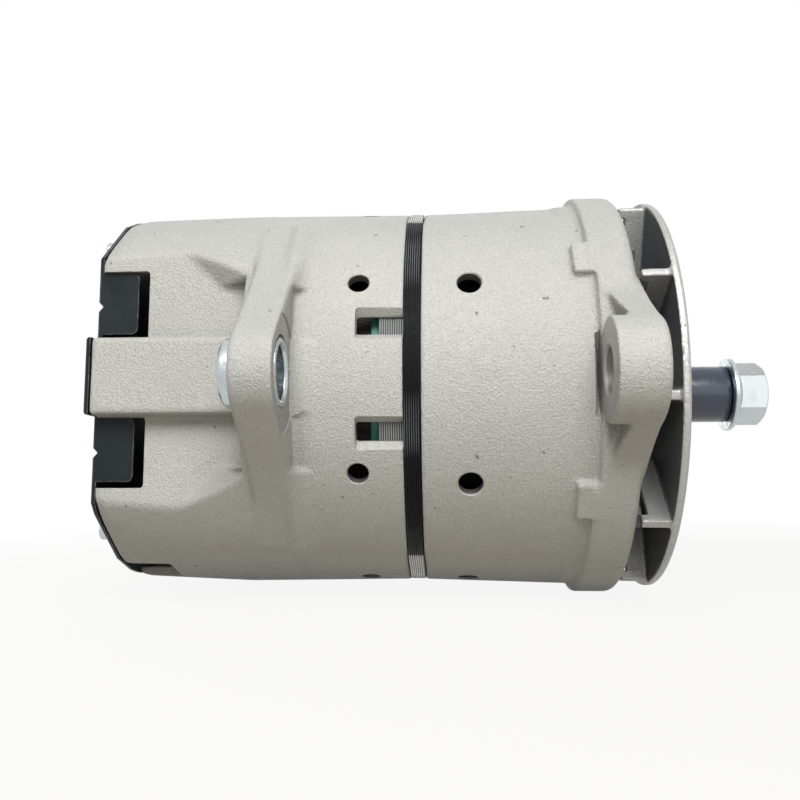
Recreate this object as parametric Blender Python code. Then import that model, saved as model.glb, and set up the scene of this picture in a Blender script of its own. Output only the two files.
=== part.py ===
"""Hinge-mounted vehicle alternator, brushless, with an outside fan at its drive end.

The shaft lies along X with the drive end at +X, and the hinge lugs point to -Y.
The origin is the centre of the shaft's drive end. Metres throughout.
Stations along the shaft are measured from the middle of the stator's bare band.
"""

import math

import bmesh
import bpy
from mathutils import Matrix

# Overall sizes
GAP = 0.0003
CUT_OVERRUN = 0.004
SHAFT_END_STATION = 0.1893

# Radii of the stack, from the rotor outwards. The rest of the part follows them
POLE_RADIUS = 0.0722
STATOR_GAP = 0.0010
CORE_BORE_RADIUS = POLE_RADIUS + STATOR_GAP
CORE_DEPTH = 0.0238
CORE_RADIUS = CORE_BORE_RADIUS + CORE_DEPTH

# Drum, band and collar
BODY_WALL = 0.0048
BODY_RADIUS = CORE_RADIUS + BODY_WALL
BAND_DROP = 0.0003
BAND_RADIUS = BODY_RADIUS - BAND_DROP
BAND_WIDTH = 0.0075
DRUM_WALL = 0.0045
FRONT_DRAFT = 0.0020
FRONT_DRUM_RADIUS = BODY_RADIUS + FRONT_DRAFT
FRONT_DRUM_LENGTH = 0.0815
COLLAR_HEIGHT = 0.0044
COLLAR_RADIUS = FRONT_DRUM_RADIUS + COLLAR_HEIGHT
COLLAR_LENGTH = 0.0215
COLLAR_ROUND = 0.0050
ROUND_BEND_SHARE = 0.3
COLLAR_BACK_ROUND = 0.0012
COLLAR_FILLET = 0.0025
PAD_LENGTH = 0.0070
PAD_WIDTH = 0.0185
PAD_HEIGHT = 0.0030
PAD_ANGLE = 32.0
FLAT_ANGLE = 67.0
FLAT_HALF_ANGLE = 11.0

# Front wall and bearing hub
WALL_THICKNESS = 0.0095
HUB_RADIUS = 0.0410
HUB_NOSE = 0.0020
HUB_NOSE_STEP = 0.0030
HUB_NOSE_RADIUS = HUB_RADIUS - HUB_NOSE_STEP
WALL_WINDOWS = 6
WALL_WINDOW_HUB_RIM = 0.0065
WALL_WINDOW_RIM = 0.0150
WALL_WINDOW_INNER = HUB_RADIUS + WALL_WINDOW_HUB_RIM
WALL_WINDOW_OUTER = CORE_RADIUS - WALL_WINDOW_RIM
WALL_WINDOW_HALF_ANGLE = 21.0

# Front web and hinge boss
HINGE_REACH = 0.0192
HINGE_DISTANCE = BODY_RADIUS + HINGE_REACH
FRONT_BOSS_RADIUS = 0.0235
FRONT_BOSS_BACK = 0.0025
FRONT_BOSS_NOSE = 0.0020
FLANK_SETBACK = 0.0075
FLANK_STEP = 0.0006
FRONT_BORE_RADIUS = 0.01025
WEB_SHOULDER_DROP = 0.0087
WEB_WAIST_DROP = 0.0341
WEB_ROOT_DROP = 0.0485
WEB_SHOULDER = (0.0314, HINGE_DISTANCE - WEB_SHOULDER_DROP)
WEB_WAIST = (0.0484, HINGE_DISTANCE - WEB_WAIST_DROP)
WEB_ROOT = (0.0590, HINGE_DISTANCE - WEB_ROOT_DROP)

# Rear housing
REAR_DRAFT = 0.0014
REAR_TAPER = 0.0024
REAR_DRUM_RADIUS = BODY_RADIUS + REAR_DRAFT
REAR_DRUM_STATION = 0.0920
REAR_RIM_RADIUS = REAR_DRUM_RADIUS - REAR_TAPER
REAR_RIM_STATION = 0.1480
REAR_END_STATION = 0.1539
REAR_EDGE_ROUND = 0.0022
REAR_WALL_STATION = 0.0760
REAR_WALL_THICKNESS = 0.0080
REAR_HUB_RADIUS = 0.0270
REAR_HUB_LENGTH = 0.0130
REAR_WINDOW_HUB_RIM = 0.0180
REAR_WINDOW_RIM = 0.0190
REAR_WINDOW_INNER = REAR_HUB_RADIUS + REAR_WINDOW_HUB_RIM
REAR_WINDOW_OUTER = CORE_RADIUS - REAR_WINDOW_RIM
FACET_DEPTH = 0.0198
FACET_HEIGHT = REAR_RIM_RADIUS - FACET_DEPTH
FACET_WALL = 0.0042
FACET_ANGLE = 1.9
FACET_BACK_STATION = 0.1120
FACET_BACK_WIDTH = 0.0650
FACET_KNEE_STATION = 0.0935
FACET_KNEE_WIDTH = 0.0439
FACET_FRONT_STATION = 0.0790
FACET_FRONT_WIDTH = 0.0425
VALLEY_SLOPE = 0.75
BANK_SLOPE = 1.94
RIB_OVERLAP = 0.0045
RIB_HALF_WIDTH = 0.0186
RIB_RISE = 0.0105
RIB_HEIGHT = FACET_HEIGHT + RIB_RISE
RIB_END_ROUND = 0.0030
WINDOW_NEAR = 0.0190
WINDOW_FAR = 0.0530
WINDOW_LENGTH = 0.0255
SIDE_WINDOW_ANGLES = (86.0, 110.0, 180.0, 252.0, 288.0)
SIDE_WINDOW_WIDTH = 0.0260

# Rear hinge lug and split bush
REAR_LUG_FRONT = 0.0549
REAR_LUG_BACK = 0.0744
REAR_BOSS_RADIUS = 0.0215
REAR_LUG_SHOULDER_DROP = 0.0145
REAR_LUG_WAIST_DROP = 0.0310
REAR_LUG_ROOT_DROP = 0.0545
REAR_LUG_SHOULDER = (0.0405, HINGE_DISTANCE - REAR_LUG_SHOULDER_DROP)
REAR_LUG_WAIST = (0.0560, HINGE_DISTANCE - REAR_LUG_WAIST_DROP)
REAR_LUG_ROOT = (0.0790, HINGE_DISTANCE - REAR_LUG_ROOT_DROP)
BUSH_WALL = 0.0028
BUSH_RADIUS = 0.0152
BUSH_BORE_RADIUS = BUSH_RADIUS - BUSH_WALL
BUSH_LENGTH = 0.0244
BUSH_CHAMFER = 0.0014
BUSH_RECESS = 0.0008
BUSH_SPLIT_ANGLE = 8.0
BUSH_SPLIT_AT = -100.0

# Vent holes and stator slots
VENT_COUNT = 7
VENT_RADIUS = 0.0060
FRONT_VENT_STATION = 0.0265
REAR_VENT_STATION = 0.0252
SLOT_ANGLE = 14.4
SLOT_WIDTH = 0.0090
SLOT_LENGTH = 0.0217
SLOT_RIM_WIDTH = 0.0135
SLOT_RIM_DEPTH = 0.0016

# Stator
CORE_LENGTH = 0.0310
TOOTH_COUNT = 36
TOOTH_SLOT_DEPTH = 0.0105
TOOTH_SLOT_WIDTH = 0.0062
COIL_BAR_WIDTH = 0.0052
CROWN_LIFT = 0.0018
CROWN_DEPTH = 0.0110
CROWN_INNER = CORE_BORE_RADIUS + CROWN_LIFT
CROWN_OUTER = CROWN_INNER + CROWN_DEPTH
CROWN_LENGTH = 0.0185

# Through bolts
BOLT_ANGLES = (45.0, 135.0, 225.0, 315.0)
BOLT_RIM = 0.0065
BOLT_CIRCLE_RADIUS = CORE_RADIUS - BOLT_RIM
BOLT_RADIUS = 0.0030
BOLT_BITE = 0.0055
BOLT_HEAD_RADIUS = 0.0058
BOLT_HEAD_HEIGHT = 0.0045

# Shaft
SHAFT_RADIUS = 0.0125
NOSE_RADIUS = 0.0110
THREAD_RADIUS = 0.0100
TAIL_RADIUS = 0.0085
SHAFT_CHAMFER = 0.0010
ROTOR_BACK_STATION = 0.0260
SHAFT_TAIL_STATION = 0.0975
THREAD_START_STATION = 0.1660

# Bearings: outer radius, bore radius, width, ball radius, ball count
FRONT_BEARING_RADIUS = 0.0310
FRONT_BEARING_WIDTH = 0.0170
FRONT_BEARING_STATION = 0.0850
FRONT_BALL_RADIUS = 0.0050
FRONT_BALLS = 8
REAR_BEARING_RADIUS = 0.0200
REAR_BEARING_WIDTH = 0.0120
REAR_BEARING_STATION = 0.0960
REAR_BALL_RADIUS = 0.0030
REAR_BALLS = 8
RACE_WALL = 0.0045
REAR_RACE_WALL = 0.0030
RACE_CLEARANCE = 0.0004
CAGE_WIDTH_SHARE = 0.5
CAGE_WALL_SHARE = 0.55
LIP_RADIUS = 0.0270
REAR_LIP_RADIUS = 0.0145
RETAINER_INNER = 0.0265
RETAINER_OUTER = 0.0400
RETAINER_THICKNESS = 0.0030
RETAINER_SCREW_CIRCLE = 0.0360
RETAINER_SCREW_ANGLES = (60.0, 180.0, 300.0)

# Rotor
CLAW_COUNT = 6
POLE_ROOT_DEPTH = 0.0162
POLE_ROOT_RADIUS = POLE_RADIUS - POLE_ROOT_DEPTH
POLE_THICKNESS = 0.0140
POLE_TIP_STATION = 0.0170
CLAW_ROOT_WIDTH = 0.0300
CLAW_TIP_WIDTH = 0.0120
CLAW_ROOT_DEPTH = 0.0150
CLAW_TIP_DEPTH = 0.0060
ROTOR_HUB_RADIUS = 0.0240
ROTOR_HUB_BACK = 0.0240
RING_POLE_DEPTH = 0.0192
RING_POLE_INNER = POLE_RADIUS - RING_POLE_DEPTH
JOINING_RING_WALL = 0.0033
JOINING_RING_INNER = RING_POLE_INNER
JOINING_RING_OUTER = JOINING_RING_INNER + JOINING_RING_WALL

# Field coil and its core
AIR_GAP = 0.0009
CORE_TUBE_WALL = 0.0050
COIL_CLEARANCE = 0.0030
COIL_OUTER = RING_POLE_INNER - COIL_CLEARANCE
COIL_BACK = 0.0235
COIL_FRONT = 0.0100
CORE_FLANGE_THICKNESS = 0.0050
CORE_FOOT_RADIUS = 0.0400
CORE_FOOT_THICKNESS = 0.0060
CORE_SCREW_CIRCLE = 0.0350
CORE_SCREW_ANGLES = (30.0, 150.0, 270.0)

# Small screws
SCREW_RADIUS = 0.0025
SCREW_HEAD_RADIUS = 0.0042
SCREW_HEAD_HEIGHT = 0.0028
SCREW_SOCKET_SHARE = 0.5
SCREW_BITE = 0.0045

# Rectifier and regulator
PLATE_INNER = 0.0450
PLATE_RIM = 0.0110
PLATE_OUTER = CORE_RADIUS - PLATE_RIM
PLATE_START = 95.0
PLATE_SWEEP = 170.0
PLATE_THICKNESS = 0.0040
NEGATIVE_PLATE_STATION = 0.1180
PLATE_SPACING = 0.0120
DIODE_RADIUS = 0.0062
DIODE_HEIGHT = 0.0070
DIODE_RIM = 0.0120
DIODE_CIRCLE = PLATE_OUTER - DIODE_RIM
DIODE_ANGLES = (108.0, 150.0, 210.0)
POST_RADIUS = 0.0055
POST_CIRCLE = 0.0560
POST_ANGLES = (120.0, 180.0, 240.0)
INSULATOR_RADIUS = 0.0050
REGULATOR_WIDTH = 0.0320
REGULATOR_HEIGHT = 0.0430
REGULATOR_DEPTH = 0.0160
REGULATOR_DROP = 0.0280
REGULATOR_CENTRE = FACET_HEIGHT - REGULATOR_DROP
REGULATOR_STATION = 0.1120
REGULATOR_SCREW_SHARE = 0.38
REGULATOR_EAR_SHARE = 0.25

# Rear cover and terminals
COVER_THICKNESS = 0.0017
COVER_RIM_STEP = 0.0003
COVER_RIM_RADIUS = REAR_RIM_RADIUS - COVER_RIM_STEP
TAB_LENGTH = 0.0200
TAB_THICKNESS = 0.0015
TAB_DROP = 0.0004
TAB_SIDE_GAP = 0.0016
TAB_CORNER = 0.0040
COVER_SLOT_ANGLES = (90.0, 126.0, 162.0, 198.0, 234.0, 270.0)
COVER_SLOT_INNER = 0.0330
COVER_SLOT_RIM = 0.0308
COVER_SLOT_OUTER = REAR_RIM_RADIUS - COVER_SLOT_RIM
COVER_SLOT_HALF_ANGLE = 5.0
COVER_HUB_HOLE = 0.0130
COVER_SCREW_ANGLES = (53.0, 127.0, 233.0, 307.0)
COVER_SCREW_RIM = 0.0103
COVER_SCREW_CIRCLE = REAR_RIM_RADIUS - COVER_SCREW_RIM
COVER_BOSS_RADIUS = 0.0065
COVER_BOSS_LENGTH = 0.0140
TERMINAL_ANGLE = 180.0
TERMINAL_CIRCLE = DIODE_CIRCLE
TERMINAL_RADIUS = 0.0040
TERMINAL_LENGTH = 0.0170
TERMINAL_FLAT_RADIUS = 0.0085
TERMINAL_INSULATOR_RADIUS = 0.0105
TERMINAL_INSULATOR_HEIGHT = 0.0050
TERMINAL_NUT_RADIUS = 0.0075
TERMINAL_NUT_HEIGHT = 0.0065

# Drive end
FAN_SPACER_RADIUS = 0.0165
FAN_HUB_RADIUS = 0.0200
FAN_HUB_BACK = 0.1070
FAN_HUB_FRONT = 0.1265
FAN_STEP = 0.0055
FAN_RADIUS = COLLAR_RADIUS - FAN_STEP
FAN_DISC_STATION = 0.1202
FAN_DISC_THICKNESS = 0.0033
FAN_BLADES = 10
FAN_BLADE_BACK = 0.1092
FAN_BLADE_DEPTH = 0.0447
FAN_BLADE_INNER = FAN_RADIUS - FAN_BLADE_DEPTH
FAN_BLADE_THICKNESS = 0.0060
FAN_PHASE = -5.1
KEY_WIDTH = 0.0050
KEY_HEIGHT = 0.0046
KEY_LENGTH = 0.0150
SLEEVE_RADIUS = 0.0156
SLEEVE_ROUND = 0.0006
FLANGE_RADIUS = 0.0205
FLANGE_HEIGHT = 0.0030
FLANGE_CONE_HEIGHT = 0.0018
NUT_ACROSS_FLATS = 0.0300
NUT_HEIGHT = 0.0190
NUT_CHAMFER = 0.0014

# Counts of straight sides round a circle
ROUND_SIDES = 48
HUB_SIDES = 24
SMALL_SIDES = 14
TINY_SIDES = 8
BOSS_SIDES = 14
WINDOW_SIDES = 3
BALL_RINGS = 4
BALL_SEGMENTS = 6
# A round cutter is turned a little, so that its corners miss the edges that it crosses
ROD_TURN = 7.0


def clear_scene():
    for item in list(bpy.data.objects):
        bpy.data.objects.remove(item)


def material(name, colour, metallic, roughness):
    made = bpy.data.materials.new(name)
    made.use_nodes = True
    shader = made.node_tree.nodes["Principled BSDF"]
    shader.inputs["Base Color"].default_value = (*colour, 1.0)
    shader.inputs["Metallic"].default_value = metallic
    shader.inputs["Roughness"].default_value = roughness
    return made


def cast_aluminium(name):
    return material(name, (0.60, 0.60, 0.58), 0.7, 0.55)


def bright_steel(name):
    return material(name, (0.62, 0.62, 0.60), 1.0, 0.35)


def black_paint(name):
    return material(name, (0.02, 0.02, 0.02), 0.0, 0.4)


def zinc_steel(name):
    return material(name, (0.66, 0.65, 0.60), 1.0, 0.3)


def soft_iron(name):
    return material(name, (0.25, 0.24, 0.23), 0.9, 0.5)


def dark_plastic(name):
    return material(name, (0.05, 0.05, 0.05), 0.0, 0.5)


def copper_wire(name):
    return material(name, (0.55, 0.22, 0.09), 0.8, 0.4)


def green_varnish(name):
    return material(name, (0.05, 0.22, 0.14), 0.1, 0.45)


def at(station):
    """X of a station measured from the band, which lies behind the shaft's end."""
    return station - SHAFT_END_STATION


def around(radius, degrees):
    """Y and Z at an angle that starts at the hinge side and rises towards +Z."""
    turn = math.radians(degrees)
    return -radius * math.cos(turn), radius * math.sin(turn)


def object_from(name, shape, look):
    mesh = bpy.data.meshes.new(name)
    bmesh.ops.recalc_face_normals(shape, faces=shape.faces)
    shape.to_mesh(mesh)
    shape.free()
    made = bpy.data.objects.new(name, mesh)
    bpy.context.scene.collection.objects.link(made)
    if look is not None:
        mesh.materials.append(look)
    return made


def smooth(target, degrees=32.0):
    target.data.shade_smooth()
    target.data.set_sharp_from_angle(angle=math.radians(degrees))
    return target


def turned(name, profile, look=None, sides=ROUND_SIDES, start=None, sweep=360.0):
    """Turn a closed profile of (x, radius) pairs about the X axis.

    A pair on the axis becomes one point. A sweep under a full turn gets end faces.
    A full turn has a flat side, not a corner, towards the hinge.
    """
    shape = bmesh.new()
    whole = sweep >= 360.0
    if start is None:
        start = 180.0 / sides
    steps = sides if whole else sides + 1
    rings = []
    for x, radius in profile:
        if radius <= 0.0:
            point = shape.verts.new((x, 0.0, 0.0))
            rings.append([point] * steps)
            continue
        ring = []
        for index in range(steps):
            y, z = around(radius, start + sweep * index / sides)
            ring.append(shape.verts.new((x, y, z)))
        rings.append(ring)
    for first, second in zip(rings, rings[1:] + rings[:1]):
        for index in range(sides):
            after = (index + 1) % steps
            corners = [first[index], first[after], second[after], second[index]]
            corners = list(dict.fromkeys(corners))
            if len(corners) > 2:
                shape.faces.new(corners)
    if not whole:
        shape.faces.new([ring[0] for ring in rings])
        shape.faces.new([ring[-1] for ring in rings])
    return object_from(name, shape, look)


def disc(name, x_low, x_high, radius, look=None, sides=HUB_SIDES, start=None):
    return turned(name, [(x_low, 0.0), (x_low, radius), (x_high, radius), (x_high, 0.0)], look, sides, start)


def ring(name, x_low, x_high, inner, outer, look=None, sides=HUB_SIDES):
    profile = [(x_low, inner), (x_low, outer), (x_high, outer), (x_high, inner)]
    return turned(name, profile, look, sides)


def arc_ring(name, x_low, x_high, inner, outer, look=None, sides=HUB_SIDES, start=0.0, sweep=360.0):
    profile = [(x_low, inner), (x_low, outer), (x_high, outer), (x_high, inner)]
    return turned(name, profile, look, sides, start, sweep)


def plate(name, outline, x_low, x_high, look=None):
    """Extrude an outline of (up, out) pairs along X. Out is the distance to the hinge side."""
    shape = bmesh.new()
    base = shape.faces.new([shape.verts.new((x_low, -out, up)) for up, out in outline])
    grown = bmesh.ops.extrude_face_region(shape, geom=[base])
    moved = [item for item in grown["geom"] if isinstance(item, bmesh.types.BMVert)]
    bmesh.ops.translate(shape, verts=moved, vec=(x_high - x_low, 0.0, 0.0))
    return object_from(name, shape, look)


def slab(name, outline, out_low, out_high, look=None):
    """Extrude an outline of (x, up) pairs towards the hinge side."""
    shape = bmesh.new()
    base = shape.faces.new([shape.verts.new((x, -out_low, up)) for x, up in outline])
    grown = bmesh.ops.extrude_face_region(shape, geom=[base])
    moved = [item for item in grown["geom"] if isinstance(item, bmesh.types.BMVert)]
    bmesh.ops.translate(shape, verts=moved, vec=(0.0, out_low - out_high, 0.0))
    return object_from(name, shape, look)


def block(name, x_low, x_high, up_low, up_high, out_low, out_high, look=None, degrees=0.0):
    """A box given in (x, up, out), turned about the shaft by the angle."""
    outline = [(up_low, out_low), (up_high, out_low), (up_high, out_high), (up_low, out_high)]
    made = plate(name, outline, x_low, x_high, look)
    made.data.transform(Matrix.Rotation(math.radians(-degrees), 4, "X"))
    return made


def rod(name, x_low, x_high, radius, circle, degrees, look=None, sides=TINY_SIDES):
    """A cylinder along X whose own axis stands off the shaft's."""
    made = disc(name, x_low, x_high, radius, look, sides, ROD_TURN)
    y, z = around(circle, degrees)
    made.data.transform(Matrix.Translation((0.0, y, z)))
    return made


def threaded_post(x_low, x_high, circle, degrees):
    """A post along X with a blind screw hole in its rear end."""
    hole = SCREW_RADIUS + GAP
    floor = x_low + SCREW_BITE + GAP
    profile = [
        (floor, 0.0),
        (floor, hole),
        (x_low, hole),
        (x_low, POST_RADIUS),
        (x_high, POST_RADIUS),
        (x_high, 0.0),
    ]
    made = turned("post", profile, None, TINY_SIDES, ROD_TURN)
    y, z = around(circle, degrees)
    made.data.transform(Matrix.Translation((0.0, y, z)))
    return made


def radial_rod(name, x, degrees, radius, inner, outer, sides=SMALL_SIDES):
    """A cylinder that points outwards from the shaft, for drilling the drums."""
    made = disc(name, inner, outer, radius, None, sides, ROD_TURN)
    made.data.transform(Matrix.Rotation(math.radians(-90.0), 4, "Z"))
    made.data.transform(Matrix.Rotation(math.radians(-degrees), 4, "X"))
    made.data.transform(Matrix.Translation((x, 0.0, 0.0)))
    return made


def combined(target, others, operation):
    """Boolean of the target with each of the others, which are used up."""
    for other in others:
        step = target.modifiers.new(operation, "BOOLEAN")
        step.operation = operation
        step.solver = "EXACT"
        step.object = other
    graph = bpy.context.evaluated_depsgraph_get()
    mesh = bpy.data.meshes.new_from_object(target.evaluated_get(graph))
    target.modifiers.clear()
    target.data = mesh
    for other in others:
        bpy.data.objects.remove(other)
    return target


def cut(target, others):
    return combined(target, others, "DIFFERENCE")


def join(target, others):
    return combined(target, others, "UNION")


def mirrored(points):
    """An outline given on its +up side, closed by its mirror image."""
    return list(points) + [(-up, out) for up, out in reversed(points)]


def lug_outline(boss_radius, shoulder, waist, root):
    """Boss arc over straight flanks that run down into the drum."""
    reach = math.hypot(shoulder[0], shoulder[1] - HINGE_DISTANCE)
    bearing = math.degrees(math.atan2(shoulder[0], shoulder[1] - HINGE_DISTANCE))
    tangent = bearing - math.degrees(math.acos(boss_radius / reach))
    points = []
    for index in range(BOSS_SIDES // 2 + 1):
        turn = math.radians(tangent * index / (BOSS_SIDES // 2))
        points.append((boss_radius * math.sin(turn), HINGE_DISTANCE + boss_radius * math.cos(turn)))
    points += [shoulder, waist, root]
    return mirrored(points[1:]) + [points[0]]


def side_flats(x_low, x_high, radius):
    """Cutters for the long shallow flats along both sides of the drum."""
    depth = radius * math.cos(math.radians(FLAT_HALF_ANGLE))
    reach = radius + CUT_OVERRUN
    cutters = []
    for degrees in (FLAT_ANGLE, -FLAT_ANGLE):
        cutters.append(block("flat", x_low, x_high, -reach, reach, depth, reach, None, degrees))
    return cutters


def wall_windows(name, x_low, x_high, inner, outer):
    """Cutters for the openings between the spokes of an end wall."""
    cutters = []
    for index in range(WALL_WINDOWS):
        middle = 360.0 * (index + 0.5) / WALL_WINDOWS
        start = middle - WALL_WINDOW_HALF_ANGLE
        sweep = WALL_WINDOW_HALF_ANGLE * 2.0
        cutters.append(arc_ring(name, x_low, x_high, inner, outer, None, WINDOW_SIDES, start, sweep))
    return cutters


def vent_holes(x):
    inner = CORE_RADIUS - DRUM_WALL * 2.0
    outer = COLLAR_RADIUS + CUT_OVERRUN
    half_step = 180.0 / VENT_COUNT
    return [
        radial_rod("vent", x, half_step + 360.0 * index / VENT_COUNT, VENT_RADIUS, inner, outer)
        for index in range(VENT_COUNT)
    ]


def screw(name, x_head, direction, length, circle, degrees, radius, head_radius, head_height, look):
    """A socket screw along X. The head's seat is at x_head and the shank runs to the direction."""
    x_top = x_head - direction * head_height
    x_tip = x_head + direction * length
    socket = head_radius * SCREW_SOCKET_SHARE
    floor = x_top + direction * head_height * SCREW_SOCKET_SHARE
    profile = [
        (floor, 0.0),
        (floor, socket),
        (x_top, socket),
        (x_top, head_radius),
        (x_head, head_radius),
        (x_head, radius),
        (x_tip, radius),
        (x_tip, 0.0),
    ]
    made = turned(name, profile, look, TINY_SIDES, ROD_TURN)
    y, z = around(circle, degrees)
    made.data.transform(Matrix.Translation((0.0, y, z)))
    return smooth(made)


def front_housing():
    look = cast_aluminium("front_housing")
    open_end = BAND_WIDTH / 2.0 + GAP
    back = FRONT_DRUM_LENGTH
    front = back + COLLAR_LENGTH
    inside = CORE_RADIUS + GAP
    wall = front - WALL_THICKNESS
    hub_back = FRONT_BEARING_STATION - GAP
    seat = FRONT_BEARING_RADIUS + GAP
    seat_end = FRONT_BEARING_STATION + FRONT_BEARING_WIDTH + GAP
    bend = COLLAR_ROUND * ROUND_BEND_SHARE
    profile = [
        (at(open_end), BODY_RADIUS),
        (at(back - COLLAR_FILLET), FRONT_DRUM_RADIUS),
        (at(back), FRONT_DRUM_RADIUS + COLLAR_FILLET),
        (at(back), COLLAR_RADIUS - COLLAR_BACK_ROUND),
        (at(back + COLLAR_BACK_ROUND), COLLAR_RADIUS),
        (at(front - COLLAR_ROUND), COLLAR_RADIUS),
        (at(front - bend), COLLAR_RADIUS - bend),
        (at(front), COLLAR_RADIUS - COLLAR_ROUND),
        (at(front), HUB_RADIUS),
        (at(front + HUB_NOSE), HUB_NOSE_RADIUS),
        (at(front + HUB_NOSE), LIP_RADIUS),
        (at(seat_end), LIP_RADIUS),
        (at(seat_end), seat),
        (at(hub_back), seat),
        (at(hub_back), HUB_RADIUS),
        (at(wall), HUB_RADIUS),
        (at(wall), inside - DRUM_WALL / 2.0),
        (at(wall - DRUM_WALL / 2.0), inside),
        (at(open_end), inside),
    ]
    made = turned("front_housing", profile, look)
    web = lug_outline(FRONT_BOSS_RADIUS - FLANK_STEP, WEB_SHOULDER, WEB_WAIST, WEB_ROOT)
    web_back = back + FRONT_BOSS_BACK
    web_front = front + FRONT_BOSS_NOSE
    flanks = plate("flanks", web, at(web_back + FLANK_SETBACK), at(web_front))
    boss = rod("boss", at(web_back), at(web_front), FRONT_BOSS_RADIUS, HINGE_DISTANCE, 0.0, None, HUB_SIDES)
    pads = []
    for degrees in (PAD_ANGLE, -PAD_ANGLE):
        reach = FRONT_DRUM_RADIUS + PAD_HEIGHT
        half = PAD_WIDTH / 2.0
        low = FRONT_DRUM_RADIUS - DRUM_WALL / 2.0
        x_low = at(back - PAD_LENGTH)
        x_high = at(back + COLLAR_FILLET)
        pads.append(block("pad", x_low, x_high, -half, half, low, reach, None, degrees))
    join(made, [flanks, boss] + pads)
    x_low = at(open_end - CUT_OVERRUN)
    cutters = [disc("hollow", x_low, at(wall - DRUM_WALL / 2.0), inside, None, ROUND_SIDES)]
    cutters += side_flats(at(open_end - CUT_OVERRUN), at(back - PAD_LENGTH - COLLAR_FILLET), BODY_RADIUS)
    cutters += vent_holes(at(FRONT_VENT_STATION))
    windows = wall_windows(
        "window", at(wall - CUT_OVERRUN), at(front + CUT_OVERRUN), WALL_WINDOW_INNER, WALL_WINDOW_OUTER
    )
    cutters += windows
    x_low = at(web_back - CUT_OVERRUN)
    x_high = at(web_front + CUT_OVERRUN)
    cutters.append(
        rod("bore", x_low, x_high, FRONT_BORE_RADIUS, HINGE_DISTANCE, 0.0, None, SMALL_SIDES)
    )
    for degrees in BOLT_ANGLES:
        hole = BOLT_RADIUS + GAP
        x_low = at(wall - CUT_OVERRUN)
        x_high = at(front + CUT_OVERRUN)
        cutters.append(rod("hole", x_low, x_high, hole, BOLT_CIRCLE_RADIUS, degrees))
    for degrees in RETAINER_SCREW_ANGLES:
        hole = SCREW_RADIUS + GAP
        x_low = at(hub_back - CUT_OVERRUN)
        x_high = at(hub_back + SCREW_BITE + GAP)
        cutters.append(rod("hole", x_low, x_high, hole, RETAINER_SCREW_CIRCLE, degrees))
    return smooth(cut(made, cutters))


def toward_facet(piece):
    """Turn a piece about the shaft with the sunk flat, which lies a little above the lugs."""
    piece.data.transform(Matrix.Rotation(math.radians(-FACET_ANGLE), 4, "X"))
    return piece


def facet_side(lift):
    """Plan of one side of the sunk flat. It widens with the height above the flat."""
    run = FACET_BACK_STATION - FACET_KNEE_STATION
    fall = FACET_BACK_WIDTH - FACET_KNEE_WIDTH
    spread = lift / VALLEY_SLOPE * math.hypot(run, fall) / run
    bank = lift / BANK_SLOPE
    bend = (spread - bank) * run / fall
    back = -FACET_BACK_STATION
    return [
        (at(-REAR_END_STATION - CUT_OVERRUN), FACET_BACK_WIDTH + spread),
        (at(back), FACET_BACK_WIDTH + spread),
        (at(-FACET_KNEE_STATION + bend), FACET_KNEE_WIDTH + bank),
        (at(-FACET_FRONT_STATION + bend), FACET_FRONT_WIDTH + bank),
    ]


def facet_cutter():
    """The sunk flat on the hinge side, with a sloping valley on each side before the lug."""
    shape = bmesh.new()
    lift = REAR_DRUM_RADIUS + CUT_OVERRUN - FACET_HEIGHT
    layers = []
    for rise in (0.0, lift):
        points = facet_side(rise)
        points += [(x, -up) for x, up in reversed(points)]
        out = FACET_HEIGHT + rise
        layers.append([shape.verts.new((x, -out, up)) for x, up in points])
    count = len(layers[0])
    shape.faces.new(layers[0])
    shape.faces.new(layers[1])
    for step in range(count):
        after = (step + 1) % count
        shape.faces.new([layers[0][step], layers[0][after], layers[1][after], layers[1][step]])
    return toward_facet(object_from("facet", shape, None))


def rib_outline():
    """Section of the raised rib, with its two long edges rounded off."""
    low = FACET_HEIGHT - FACET_WALL / 2.0
    shoulder = RIB_HEIGHT - RIB_END_ROUND
    inner = RIB_HALF_WIDTH - RIB_END_ROUND / 2.0
    return mirrored([(inner, RIB_HEIGHT), (RIB_HALF_WIDTH, shoulder), (RIB_HALF_WIDTH, low)])


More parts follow.
